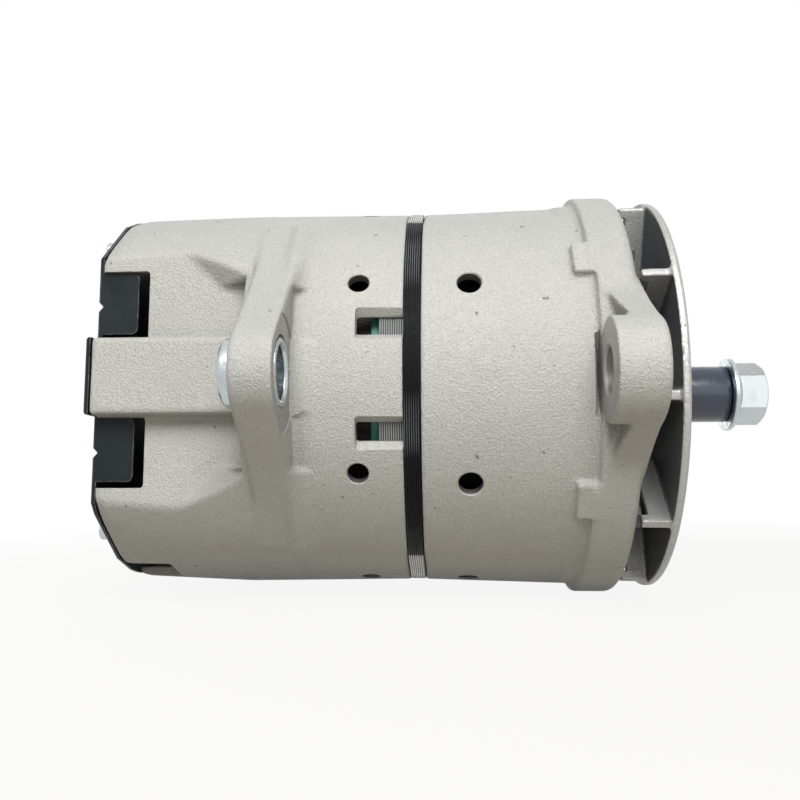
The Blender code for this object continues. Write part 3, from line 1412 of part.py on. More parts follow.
def flange_nut():
    look = zinc_steel("flange_nut")
    top = SHAFT_END_STATION + GAP
    base = SHAFT_END_STATION - NUT_HEIGHT
    rim = base + FLANGE_HEIGHT
    corner = NUT_ACROSS_FLATS / math.sqrt(3.0)
    cone = rim + FLANGE_CONE_HEIGHT
    bore = THREAD_RADIUS + GAP
    made = plate("flange_nut", hexagon(corner), at(base + FLANGE_HEIGHT / 2.0), at(top), look)
    flat = NUT_ACROSS_FLATS / 2.0
    profile = [
        (at(base), 0.0),
        (at(base), FLANGE_RADIUS),
        (at(rim), FLANGE_RADIUS),
        (at(cone), flat),
        (at(cone), 0.0),
    ]
    join(made, [turned("flange", profile, None, HUB_SIDES)])
    slope = corner + CUT_OVERRUN
    fall = (slope - flat) * NUT_CHAMFER / (corner - flat)
    chamfer = [
        (at(top), flat),
        (at(top - fall), slope),
        (at(top + CUT_OVERRUN), slope),
        (at(top + CUT_OVERRUN), flat),
    ]
    bore_cut = disc("bore", at(base - CUT_OVERRUN), at(top + CUT_OVERRUN), bore)
    return smooth(cut(made, [turned("chamfer", chamfer, None, HUB_SIDES), bore_cut]))


def build():
    clear_scene()
    front_housing()
    rear_housing()
    stator_core()
    stator_winding()
    front_bearing()
    rear_bearing()
    bearing_retainer()
    through_bolts()
    sliding_bush()
    shaft()
    fan_key()
    drive_pole()
    ring_pole()
    joining_ring()
    field_core()
    field_coil()
    rectifier()
    voltage_regulator()
    rear_cover()
    output_terminal()
    fan_spacer()
    fan()
    pulley_spacer()
    flange_nut()


build()
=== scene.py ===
"""Looks of the hinge-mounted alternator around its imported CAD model. Metres, row frame."""

import itertools
import math

import bmesh
import bpy
import numpy as np
from mathutils import Matrix, Vector


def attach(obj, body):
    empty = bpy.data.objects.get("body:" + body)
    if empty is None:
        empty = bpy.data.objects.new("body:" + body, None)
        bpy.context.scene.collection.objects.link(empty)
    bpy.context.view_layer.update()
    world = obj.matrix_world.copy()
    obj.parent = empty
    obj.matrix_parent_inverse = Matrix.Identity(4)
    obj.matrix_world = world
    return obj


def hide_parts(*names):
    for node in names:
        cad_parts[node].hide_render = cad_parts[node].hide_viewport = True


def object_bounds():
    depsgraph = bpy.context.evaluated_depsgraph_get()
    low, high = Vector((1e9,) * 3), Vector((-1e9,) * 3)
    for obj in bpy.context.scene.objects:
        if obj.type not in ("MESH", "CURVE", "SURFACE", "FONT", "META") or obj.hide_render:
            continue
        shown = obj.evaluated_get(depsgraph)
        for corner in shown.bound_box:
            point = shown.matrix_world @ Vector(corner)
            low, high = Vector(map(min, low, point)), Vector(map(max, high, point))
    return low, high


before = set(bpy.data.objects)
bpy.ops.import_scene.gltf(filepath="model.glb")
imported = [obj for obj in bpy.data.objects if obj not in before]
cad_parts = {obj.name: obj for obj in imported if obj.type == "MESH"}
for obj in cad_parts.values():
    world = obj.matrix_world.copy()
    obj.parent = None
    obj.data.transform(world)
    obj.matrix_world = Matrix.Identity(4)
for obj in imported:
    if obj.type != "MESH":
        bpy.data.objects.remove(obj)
cad_low, cad_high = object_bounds()

# Sizes shared with the CAD model. Stations start at the middle of the bare band.
SHAFT_END = 0.1893
GAP = 0.0003
OVER = 0.004
BAND = 0.0075
BAND_RADIUS = 0.1015
BODY_RADIUS = 0.1018
CORE_RADIUS = 0.0970
DRUM_WALL = 0.0045
FRONT_BACK = 0.0815
FRONT_FACE = 0.1030
FRONT_DRUM_RADIUS = 0.1038
COLLAR_RADIUS = 0.1079
COLLAR_ROUND = 0.0046
WEB_BACK = 0.0840
FLANK_BACK = 0.0915
WEB_FACE = 0.1050
FRONT_BOSS = 0.0230
HINGE = 0.1210
FLAT_ANGLE = 67.0
FLAT_HALF = 11.0
REAR_END = 0.1539
REAR_FACE = 0.1531
FACET_ANGLE = 1.9
FACET_HEIGHT = 0.0810
RIB_HEIGHT = 0.0915
RIB_HALF = 0.0186
LUG_FRONT = 0.0549
LUG_BACK = 0.0744
BUSH_RADIUS = 0.0152
BUSH_BORE = 0.0124
BUSH_LENGTH = 0.0244
BUSH_CHAMFER = 0.0014
FRONT_VENT = 0.0057
REAR_VENT = 0.0050
FRONT_VENTS = (26.1, -28.3, 77.1, -77.1, 128.6, -128.6, 180.0)
REAR_VENTS = (26.5, -25.3, 77.1, -77.1, 128.6, -128.6, 180.0)
SIDE_WINDOWS = (86.0, 110.0, 180.0, 252.0, 288.0)
COVER_SLOTS = (90.0, 126.0, 162.0, 198.0, 234.0, 270.0)
BOLTS = (45.0, 135.0, 225.0, 315.0)
COVER_SCREWS = (53.0, 127.0, 233.0, 307.0)
SCREW_CIRCLE = 0.0905
TERMINAL = 0.0740
SHEET_PITCH = 0.00105
STEP = 0.0012


def at(station):
    return station - SHAFT_END


def around(radius, degrees):
    turn = math.radians(degrees)
    return -radius * math.cos(turn), radius * math.sin(turn)


def on_ring(radius, degrees):
    y, z = around(radius, degrees)
    return z, -y


# Outlines
def rounded(points, steps=5):
    """Replace each corner (x, y, radius) of an outline by an arc; a pair (x, y) stays sharp."""
    made = []
    count = len(points)
    for index, (x, y, *soft) in enumerate(points):
        radius = soft[0] if soft else 0.0
        if radius <= 0.0:
            made.append((x, y))
            continue
        corner = Vector((x, y))
        before = (Vector(points[index - 1][:2]) - corner).normalized()
        after = (Vector(points[(index + 1) % count][:2]) - corner).normalized()
        half = before.angle(after) / 2.0
        reach = radius / math.tan(half)
        centre = corner + (before + after).normalized() * (radius / math.sin(half))
        first = corner + before * reach - centre
        last = corner + after * reach - centre
        start = math.atan2(first.y, first.x)
        sweep = math.atan2(last.y, last.x) - start
        sweep = (sweep + math.pi) % (2.0 * math.pi) - math.pi
        for step in range(steps + 1):
            turn = start + sweep * step / steps
            made.append((centre.x + radius * math.cos(turn), centre.y + radius * math.sin(turn)))
    return made


def lug_outline(boss, shoulder, waist, root, soft):
    """Boss arc over flanks that sweep down into the drum, as (up, out) pairs."""
    reach = math.hypot(shoulder[0], shoulder[1] - HINGE)
    bearing = math.atan2(shoulder[0], shoulder[1] - HINGE)
    tangent = bearing - math.acos(boss / reach)
    arc = []
    for index in range(15):
        turn = tangent * index / 14.0
        arc.append((boss * math.sin(turn), HINGE + boss * math.cos(turn)))
    side = arc + [(*shoulder, soft), (*waist, soft), (*root, 0.0)]
    other = [(-up, out, *radius) for up, out, *radius in reversed(side)]
    return rounded(side + other[:-1], 8)


# Solid fields, negative inside, for cast shapes with soft edges and fillets
class Space:
    def __init__(self, low, high, step=STEP):
        self.step = step
        self.low = low
        self.station, self.out, self.up = (np.arange(a, b, step) for a, b in zip(low, high))
        self.O, self.U = np.meshgrid(self.out, self.up, indexing="ij")
        self.S = self.station[:, None, None]

    def facing(self, degrees):
        """Distances out and up, for an outline turned about the shaft."""
        cosine, sine = math.cos(math.radians(degrees)), math.sin(math.radians(degrees))
        return self.O * cosine + self.U * sine, self.U * cosine - self.O * sine


def polygon_field(px, py, points):
    shape = np.broadcast(px, py).shape
    best = np.full(shape, 1e9)
    inside = np.zeros(shape, bool)
    for (ax, ay), (bx, by) in zip(points, points[1:] + points[:1]):
        ex, ey = bx - ax, by - ay
        wx, wy = px - ax, py - ay
        share = np.clip((wx * ex + wy * ey) / max(ex * ex + ey * ey, 1e-18), 0.0, 1.0)
        best = np.minimum(best, (wx - ex * share) ** 2 + (wy - ey * share) ** 2)
        if ey != 0.0:
            inside ^= ((ay > py) != (by > py)) & (px < ex * wy / ey + ax)
    far = np.sqrt(best)
    return np.where(inside, -far, far)


def turned_field(space, profile):
    radii = np.arange(0.0, 0.2, space.step / 2.0)
    table = polygon_field(space.station[:, None], radii[None, :], profile)
    radius = np.hypot(space.O, space.U)
    return np.stack([np.interp(radius, radii, row) for row in table]).astype(np.float32)


def plate_field(space, outline, low, high, edge, turn=0.0):
    out, up = space.facing(turn)
    return between(space, polygon_field(up, out, outline).astype(np.float32), low, high, edge)


def between(space, flat, low, high, edge):
    """A flat field kept between two stations, with rounded edges."""
    flat = flat[None] + edge
    ends = np.abs(space.S - (low + high) / 2.0) - (high - low) / 2.0 + edge
    outer = np.hypot(np.maximum(flat, 0.0), np.maximum(ends, 0.0))
    return np.minimum(np.maximum(flat, ends), 0.0) + outer - edge


def soft_min(a, b, k):
    share = np.clip(0.5 + 0.5 * (b - a) / k, 0.0, 1.0)
    return b * (1.0 - share) + a * share - k * share * (1.0 - share)


def soft_max(a, b, k):
    return -soft_min(-a, -b, k)


def net(name, space, field):
    """Closed quad mesh on the zero surface of a field."""
    inside = field < 0.0
    size = np.array(field.shape)
    total = np.zeros(size - 1, np.int8)
    for i, j, k in itertools.product((0, 1), repeat=3):
        total += inside[i:size[0] - 1 + i, j:size[1] - 1 + j, k:size[2] - 1 + k]
    active = (total > 0) & (total < 8)
    cells = np.argwhere(active)
    index = np.full(active.shape, -1, np.int64)
    index[active] = np.arange(len(cells))
    place = np.zeros((len(cells), 3))
    hits = np.zeros(len(cells))
    faces = []
    for axis in range(3):
        b, c = [other for other in range(3) if other != axis]
        for i, j in itertools.product((0, 1), repeat=2):
            start = np.zeros(3, int)
            start[b], start[c] = i, j
            end = start.copy()
            end[axis] = 1
            first = field[tuple((cells + start).T)]
            last = field[tuple((cells + end).T)]
            crossed = (first < 0.0) != (last < 0.0)
            spot = np.tile(start.astype(float), (len(cells), 1))
            spot[:, axis] = np.where(crossed, first / np.where(crossed, first - last, 1.0), 0.0)
            place[crossed] += spot[crossed]
            hits[crossed] += 1.0
        edges = np.argwhere(np.diff(inside, axis=axis))
        corners = []
        for db, dc in ((0, 0), (1, 0), (1, 1), (0, 1)):
            cell = edges.copy()
            cell[:, b] -= db
            cell[:, c] -= dc
            corners.append(index[tuple(cell.T)])
        quad = np.stack(corners, 1)
        starts_in = inside[tuple(edges.T)]
        flip = starts_in if axis == 1 else ~starts_in
        quad[flip] = quad[flip][:, ::-1]
        faces.append(quad)
    points = np.array(space.low) + (cells + place / hits[:, None]) * space.step
    points = np.stack([points[:, 0] - SHAFT_END, -points[:, 1], points[:, 2]], 1)
    mesh = bpy.data.meshes.new(name)
    mesh.from_pydata(points.tolist(), [], np.concatenate(faces).tolist())
    shape = bmesh.new()
    shape.from_mesh(mesh)
    bpy.data.meshes.remove(mesh)
    return object_from(name, shape)


# Plain solids
def placed(name, data):
    made = bpy.data.objects.new(name, data)
    bpy.context.scene.collection.objects.link(made)
    return made


def object_from(name, shape):
    mesh = bpy.data.meshes.new(name)
    bmesh.ops.recalc_face_normals(shape, faces=shape.faces)
    shape.to_mesh(mesh)
    shape.free()
    return placed(name, mesh)


def turned(name, profile, sides=96, start=0.0, sweep=360.0, radius_of=None):
    """Turn a closed profile of (station, radius) pairs about the shaft."""
    shape = bmesh.new()
    whole = sweep >= 360.0
    steps = sides if whole else sides + 1
    rings = []
    for station, radius in profile:
        if radius <= 0.0:
            rings.append([shape.verts.new((at(station), 0.0, 0.0))] * steps)
            continue
        ring = []
        for index in range(steps):
            degrees = start + sweep * index / sides
            size = radius if radius_of is None else radius_of(radius, degrees)
            ring.append(shape.verts.new((at(station), *around(size, degrees))))
        rings.append(ring)
    for first, second in zip(rings, rings[1:] + rings[:1]):
        for index in range(sides):
            after = (index + 1) % steps
            corners = list(dict.fromkeys([first[index], first[after], second[after], second[index]]))
            if len(corners) > 2:
                shape.faces.new(corners)
    if not whole:
        shape.faces.new([ring[0] for ring in rings])
        shape.faces.new([ring[-1] for ring in rings])
    return object_from(name, shape)


def rotated(made, degrees, axis="X"):
    made.data.transform(Matrix.Rotation(math.radians(degrees), 4, axis))
    return made


def shifted(made, x, y=0.0, z=0.0):
    made.data.transform(Matrix.Translation((x, y, z)))
    return made


def extruded(name, points, shift, turn):
    """Extrude a flat outline of points by a shift, then turn it about the shaft."""
    shape = bmesh.new()
    base = shape.faces.new([shape.verts.new(point) for point in points])
    grown = bmesh.ops.extrude_face_region(shape, geom=[base])
    moved = [item for item in grown["geom"] if isinstance(item, bmesh.types.BMVert)]
    bmesh.ops.translate(shape, verts=moved, vec=shift)
    return rotated(object_from(name, shape), -turn)


def prism(name, outline, low, high, turn=0.0):
    """Extrude an (up, out) outline along the shaft between two stations."""
    return extruded(name, [(at(low), -out, up) for up, out in outline], (high - low, 0.0, 0.0), turn)


def slab(name, outline, low, high, turn=0.0):
    """Extrude a (station, up) outline outwards to the hinge side."""
    return extruded(name, [(at(s), -low, up) for s, up in outline], (0.0, low - high, 0.0), turn)


def box(name, low, high, up_low, up_high, out_low, out_high, turn=0.0, corner=0.0, steps=4):
    corners = ((up_low, out_low), (up_high, out_low), (up_high, out_high), (up_low, out_high))
    return prism(name, rounded([(up, out, corner) for up, out in corners], steps), low, high, turn)


def moved_to(made, circle, degrees):
    return shifted(made, 0.0, *around(circle, degrees))


def skinned(name, layers, turn=0.0):
    """Close a solid over layers of points, which are all of one length."""
    shape = bmesh.new()
    rings = [[shape.verts.new(point) for point in layer] for layer in layers]
    shape.faces.new(rings[0])
    shape.faces.new(rings[-1])
    for first, second in zip(rings, rings[1:]):
        for index in range(len(first)):
            after = (index + 1) % len(first)
            shape.faces.new([first[index], first[after], second[after], second[index]])
    return rotated(object_from(name, shape), -turn)


def core(name, profile, sides, circle=0.0, degrees=0.0):
    """Turn a profile closed along its own line, and set it out on a circle."""
    made = turned(name, [(profile[0][0], 0.0), *profile, (profile[-1][0], 0.0)], sides)
    return moved_to(made, circle, degrees)


def rod(name, low, high, radius, sides, circle=0.0, degrees=0.0):
    return core(name, [(low, radius), (high, radius)], sides, circle, degrees)


def rods(name, low, high, radius, sides, circle, angles):
    return merged(name, [rod(name, low, high, radius, sides, circle, degrees) for degrees in angles])


def thread(start, end, pitch, crest, root):
    """Turns of a thread, as (station, radius) pairs."""
    profile = []
    while start < end:
        profile += [(start, crest), (start + pitch / 2.0, root)]
        start += pitch
    return profile


def air_windows(inner, outer, low, high):
    """Cutter for six openings, each a sector of a ring."""
    windows = []
    for index in range(6):
        outline = []
        for radius, sign in ((inner, 1.0), (outer, -1.0)):
            for step in range(9):
                outline.append(on_ring(radius, 60.0 * (index + 0.5) + sign * 21.0 * (1.0 - step / 4.0)))
        windows.append(prism("window", outline, low, high))
    return merged("windows", windows)


def merged(name, pieces):
    shape = bmesh.new()
    for piece in pieces:
        shape.from_mesh(piece.data)
        bpy.data.objects.remove(piece)
    return object_from(name, shape)


def baked(target):
    graph = bpy.context.evaluated_depsgraph_get()
    mesh = bpy.data.meshes.new_from_object(target.evaluated_get(graph))
    target.modifiers.clear()
    target.data = mesh
    return target


def combined(target, cutters, operation="DIFFERENCE", solver="MANIFOLD"):
    for cutter in cutters:
        step = target.modifiers.new("cut", "BOOLEAN")
        step.operation = operation
        step.solver = solver
        step.object = cutter
    baked(target)
    for cutter in cutters:
        bpy.data.objects.remove(cutter)


def bevelled(target, width, segments=2, degrees=35.0):
    step = target.modifiers.new("edge", "BEVEL")
    step.width = width
    step.segments = segments
    step.limit_method = "ANGLE"
    step.angle_limit = math.radians(degrees)
    return baked(target)


def face_values(target, key, width, kind=float):
    values = np.empty(len(target.data.polygons) * width, kind)
    target.data.polygons.foreach_get(key, values)
    return values.reshape(-1, width) if width > 1 else values


def dress(target, looks, nodes, sharp=32.0, body="housing"):
    """Smooth a finished piece, give it materials and a body, and hide the CAD nodes that it stands for."""
    target.data.shade_smooth()
    target.data.set_sharp_from_angle(angle=math.radians(sharp))
    painted = face_values(target, "material_index", 1, np.int32)
    target.data.materials.clear()
    for look in looks:
        target.data.materials.append(look)
    target.data.polygons.foreach_set("material_index", painted % len(looks))
    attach(target, body)
    if nodes:
        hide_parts(*nodes)


def paint(target, *layers):
    """Set the material index of chosen faces, one (index, chosen) layer after the other."""
    current = face_values(target, "material_index", 1, np.int32)
    for index, chosen in layers:
        current[chosen] = index
    target.data.polygons.foreach_set("material_index", current)


def faces_of(target):
    return face_values(target, "center", 3), face_values(target, "normal", 3)


def off_shaft(centre):
    return np.hypot(centre[:, 1], centre[:, 2])


def off_hinge(centre):
    return np.hypot(centre[:, 1] + HINGE, centre[:, 2])


def faces_shaft(centre, normal):
    return (normal[:, 1] * centre[:, 1] + normal[:, 2] * centre[:, 2]) < 0.0


# Materials
def add(tree, kind, sockets=None, **settings):
    """Add a node, feed its inputs with values or other sockets, and return its outputs."""
    made = tree.nodes.new(kind)
    for key, value in settings.items():
        setattr(made, key, value)
    for key, value in (sockets or {}).items():
        if isinstance(value, bpy.types.NodeSocket):
            tree.links.new(value, made.inputs[key])
        else:
            made.inputs[key].default_value = value
    return made.outputs


def joined(tree, operation, a, b):
    return add(tree, "ShaderNodeMath", {0: a, 1: b}, operation=operation)["Value"]


def ranged(tree, value, low, high, out_low=0.0, out_high=1.0):
    limits = {"From Min": low, "From Max": high, "To Min": out_low, "To Max": out_high}
    return add(tree, "ShaderNodeMapRange", {"Value": value, **limits})["Result"]


def length(tree, vector):
    return add(tree, "ShaderNodeVectorMath", {0: vector}, operation="LENGTH")["Value"]


def shade(colour, factor):
    return tuple(min(1.0, part * factor) for part in colour)


class Look:
    def __init__(self, name, colour, metallic, roughness, specular=None):
        self.material = bpy.data.materials.new(name)
        self.material.use_nodes = True
        self.tree = self.material.node_tree
        self.shader = self.tree.nodes["Principled BSDF"]
        self.shader.inputs["Base Color"].default_value = (*colour, 1.0)
        self.shader.inputs["Metallic"].default_value = metallic
        self.shader.inputs["Roughness"].default_value = roughness
        if specular is not None:
            self.shader.inputs["Specular IOR Level"].default_value = specular
        self.place = self.add("ShaderNodeTexCoord")["Object"]

    def add(self, kind, sockets=None, **settings):
        return add(self.tree, kind, sockets, **settings)

    def feed(self, socket, value):
        self.tree.links.new(value, self.shader.inputs[socket])

    def noise(self, scale, detail=3.0, rough=0.55, stretch=None):
        place = self.place
        if stretch is not None:
            place = self.add("ShaderNodeMapping", {"Vector": place, "Scale": stretch})["Vector"]
        sockets = {"Vector": place, "Scale": scale, "Detail": detail, "Roughness": rough}
        return self.add("ShaderNodeTexNoise", sockets)["Fac"]

    def band(self, value, low, high, out_low=0.0, out_high=1.0):
        return ranged(self.tree, value, low, high, out_low, out_high)

    def math(self, operation, a, b):
        return joined(self.tree, operation, a, b)

    def blend(self, share, colour):
        """Mix another colour over the base by a share."""
        base = self.shader.inputs["Base Color"]
        below = base.links[0].from_socket if base.is_linked else base.default_value
        sockets = {"Factor": share, "A": below, "B": (*colour, 1.0)}
        self.feed("Base Color", self.add("ShaderNodeMix", sockets, data_type="RGBA")["Result"])

    def stain(self, value, low, high, share, colour):
        """Mix a colour in where a value runs from low to high."""
        self.blend(self.band(value, low, high, 0.0, share), colour)

    def rough(self, value, low, high):
        self.feed("Roughness", self.band(value, 0.3, 0.7, low, high))

    def softened(self, radius, samples):
        return self.add("ShaderNodeBevel", {"Radius": radius}, samples=samples)["Normal"]

    def bump(self, layers, edge=0.0):
        """Bump from (height, depth) layers, with an optional softened edge."""
        total = None
        for height, depth in layers:
            part = self.math("MULTIPLY", height, depth)
            total = part if total is None else self.math("ADD", total, part)
        sockets = {"Height": total, "Strength": 1.0, "Distance": 1.0}
        if edge > 0.0:
            sockets["Normal"] = self.softened(edge, 6)
        self.feed("Normal", self.add("ShaderNodeBump", sockets)["Normal"])

    def edge_highlight(self, radius, share, colour):
        """Lighten convex edges in broken lines: a painted highlight along the edge roundings."""
        pair = {0: self.softened(radius, 8), 1: self.add("ShaderNodeNewGeometry")["Normal"]}
        dot = self.add("ShaderNodeVectorMath", pair, operation="DOT_PRODUCT")["Value"]
        edge = self.band(dot, 0.985, 0.90, 0.0, share)
        self.blend(self.math("MULTIPLY", edge, self.band(self.noise(260.0, 3.0), 0.3, 0.6)), colour)

    def occlusion_shade(self, distance, share, colour):
        """Darken what lies close to other surfaces: painted shade in creases, corners and recesses."""
        free = self.add("ShaderNodeAmbientOcclusion", {"Distance": distance}, samples=8)["AO"]
        self.blend(self.band(free, 0.2, 0.95, share, 0.0), colour)


def cast_look(name, colour, metallic=0.14, roughness=0.5, grain=1.0):
    look = Look(name, colour, metallic, roughness, 0.06)
    look.stain(look.noise(16.0, 4.0, 0.6), 0.35, 0.75, 0.5, shade(colour, 0.80))
    fine = look.noise(1050.0, 2.0, 0.6)
    look.stain(fine, 0.42, 0.75, 0.65, shade(colour, 1.16))
    look.stain(fine, 0.56, 0.26, 0.70, shade(colour, 0.80))
    pits = look.noise(210.0, 2.0, 0.5)
    look.stain(pits, 0.735, 0.775, 0.75, shade(colour, 0.35))
    look.stain(look.noise(120.0, 3.0, 0.6), 0.745, 0.765, 0.8, (0.10, 0.075, 0.05))
    # Painted shade: darker where other surfaces are near.
    look.occlusion_shade(0.010, 0.42, shade(colour, 0.28))
    look.rough(look.noise(300.0, 2.0), roughness - 0.07, roughness + 0.08)
    pit_depth = look.band(pits, 0.735, 0.775, 0.0, -1.0)
    look.bump([
        (fine, 0.0006 * grain), (look.noise(480.0, 2.0), 0.0002 * grain),
        (look.noise(2200.0, 2.0), 0.00018 * grain), (pit_depth, 0.0003),
    ], 0.0007)
    return look.material


def machined_look(name, colour, roughness=0.3, metallic=0.9):
    look = Look(name, colour, metallic, roughness)
    lines = look.noise(900.0, 3.0, 0.6, (1.0, 0.08, 0.08))
    look.stain(lines, 0.35, 0.7, 0.35, shade(colour, 0.7))
    look.stain(look.noise(60.0, 4.0), 0.5, 0.75, 0.3, shade(colour, 0.75))
    look.rough(lines, roughness - 0.06, roughness + 0.1)
    look.bump([(lines, 0.00006)], 0.0004)
    return look.material


def zinc_look(name, tint=(0.53, 0.57, 0.585), roughness=0.24):
    look = Look(name, tint, 1.0, roughness)
    look.stain(look.noise(70.0, 4.0, 0.6), 0.45, 0.72, 0.5, shade(tint, 0.72))
    look.stain(look.noise(240.0, 3.0), 0.55, 0.8, 0.35, (0.75, 0.75, 0.70))
    look.rough(look.noise(400.0, 3.0), roughness - 0.08, roughness + 0.12)
    look.bump([(look.noise(1500.0, 2.0), 0.000012), (look.noise(160.0, 2.0), 0.00001)], 0.0004)
    return look.material


def paint_look(name, colour=(0.009, 0.0135, 0.0155), roughness=0.36, shine=0.2):
    look = Look(name, colour, 0.0, roughness, shine)
    look.stain(look.noise(35.0, 4.0), 0.4, 0.75, 0.6, shade(colour, 1.9))
    look.stain(look.noise(900.0, 2.0), 0.72, 0.78, 0.5, (0.12, 0.12, 0.12))
    # Painted highlight along the convex edges.
    look.edge_highlight(0.0007, 0.85, (0.22, 0.24, 0.25))
    look.rough(look.noise(220.0, 3.0), roughness - 0.05, roughness + 0.12)
    look.bump([(look.noise(700.0, 2.0), 0.00008)], 0.0005)
    return look.material


def wire_look(name, colour, roughness=0.4, metallic=0.6, scale=900.0):
    look = Look(name, colour, metallic, roughness)
    strand = look.noise(scale, 2.0, 0.5, (0.2, 1.0, 1.0))
    look.stain(strand, 0.5, 0.3, 0.8, shade(colour, 0.25))
    look.rough(strand, roughness - 0.1, roughness + 0.15)
    look.bump([(strand, 0.0006)])
    return look.material


def plastic_look(name, colour, roughness=0.5):
    look = Look(name, colour, 0.0, roughness)
    look.stain(look.noise(90.0, 3.0), 0.4, 0.7, 0.5, shade(colour, 1.6))
    look.rough(look.noise(500.0, 2.0), roughness - 0.08, roughness + 0.1)
    look.bump([(look.noise(1800.0, 2.0), 0.00006)], 0.0004)
    return look.material


def lamination_look(name, colour, metallic, roughness, glint_share=0.3, glint_lift=1.9):
    """Stacked sheets seen edge on: fine lines along the shaft, with painted highlights on the sheet edges in
    zones around it.
    """
    look = Look(name, colour, metallic, roughness, 0.12)
    scale = math.pi / 10.0 / SHEET_PITCH
    sockets = {"Vector": look.place, "Scale": scale, "Distortion": 0.3, "Detail": 2.0}
    line = look.add("ShaderNodeTexWave", sockets, bands_direction="X")["Fac"]
    look.stain(line, 0.55, 0.25, 0.95, shade(colour, 0.12))
    glint_zones = look.band(look.noise(17.0, 2.0, 0.5, (0.2, 1.0, 1.0)), 0.46, 0.58, 0.0, 1.0)
    # Painted highlight: sheet edges lightened in the glint zones.
    crest = look.math("MULTIPLY", glint_zones, look.band(line, 0.70, 0.95, 0.0, glint_share))
    look.blend(crest, shade(colour, glint_lift))
    look.rough(look.noise(200.0, 3.0), roughness - 0.08, roughness + 0.15)
    look.bump([(line, 0.00018), (look.noise(900.0, 2.0), 0.00006)])
    return look.material


def threaded_look(name, colour):
    """Tapped wall: fine turns that follow the distance from the shaft."""
    look = Look(name, colour, 0.4, 0.5)
    across = {0: look.place, 1: (0.0, 1.0, 1.0)}
    flat = look.add("ShaderNodeVectorMath", across, operation="MULTIPLY")["Vector"]
    phase = look.math("MULTIPLY", length(look.tree, flat), 2.0 * math.pi / 0.0012)
    turns = look.math("SINE", phase, 0.0)
    look.stain(turns, -0.2, -0.9, 0.75, shade(colour, 0.25))
    look.rough(look.noise(300.0, 2.0), 0.42, 0.58)
    look.bump([(turns, 0.00012), (look.noise(900.0, 2.0), 0.0002)])
    return look.material


ALUMINIUM = (0.475, 0.477, 0.455)
cast = cast_look("cast_aluminium", ALUMINIUM)
# Darker copy of the cast aluminium for faces inside the housings: painted shade.
shaded_inner_cast = cast_look("shaded_inner_cast", (0.34, 0.33, 0.31), 0.35, 0.6, 0.7)
fan_cast = cast_look("fan_cast", (0.44, 0.44, 0.43), 0.5, 0.42, 0.5)
fan_rim = cast_look("fan_rim", (0.47, 0.46, 0.44), 0.6, 0.36, 0.6)
# Dark copy of the fan casting: painted shade on the disc's back face between the blades.
fan_disc_shade = cast_look("fan_disc_painted_shade", (0.15, 0.157, 0.168), 0.2, 0.55, 0.6)
machined = machined_look("machined_aluminium", (0.40, 0.395, 0.385), 0.42, 0.7)
# Dark colour for the tapped walls of the holes: painted shade inside the holes.
shaded_thread = threaded_look("tapped_wall_in_shade", (0.17, 0.165, 0.155))
zinc = zinc_look("zinc_plate")
bright = zinc_look("bright_steel", (0.55, 0.55, 0.54), 0.3)
black = paint_look("black_paint")
sleeve_black = paint_look("sleeve_black", (0.010, 0.018, 0.040), 0.17, 0.8)
# The last numbers of these looks set the painted highlights on the sheet edges.
band_black = lamination_look("painted_laminations", (0.008, 0.009, 0.0095), 0.0, 0.40, 0.9, 20.0)
band_bare = lamination_look("bare_laminations", (0.42, 0.42, 0.40), 0.6, 0.38)
iron = lamination_look("iron_laminations", (0.25, 0.26, 0.26), 0.1, 0.45, 0.5)
# Dark colour for the through bolts: painted shade on their heads, which sit in shade behind the fan.
bolt_shade = machined_look("dark_screw", (0.09, 0.09, 0.09), 0.5, 0.6)
soft_iron = machined_look("soft_iron", (0.20, 0.20, 0.19), 0.45)
green = plastic_look("green_insulation", (0.05, 0.24, 0.185), 0.4)
# Near-black wire: painted shade for the winding inside the housing.
winding = wire_look("wire_in_painted_shade", (0.010, 0.006, 0.005), 0.5, 0.0)
copper = wire_look("copper_wire", (0.45, 0.17, 0.07))
plastic = plastic_look("black_plastic", (0.02, 0.02, 0.022))


# Housings
def with_flats(space, field, depth):
    """Take off the two long shallow flats of the sides."""
    for degrees in (FLAT_ANGLE, -FLAT_ANGLE):
        field = soft_max(field, space.facing(degrees)[0][None] - depth, 0.0022)
    return field


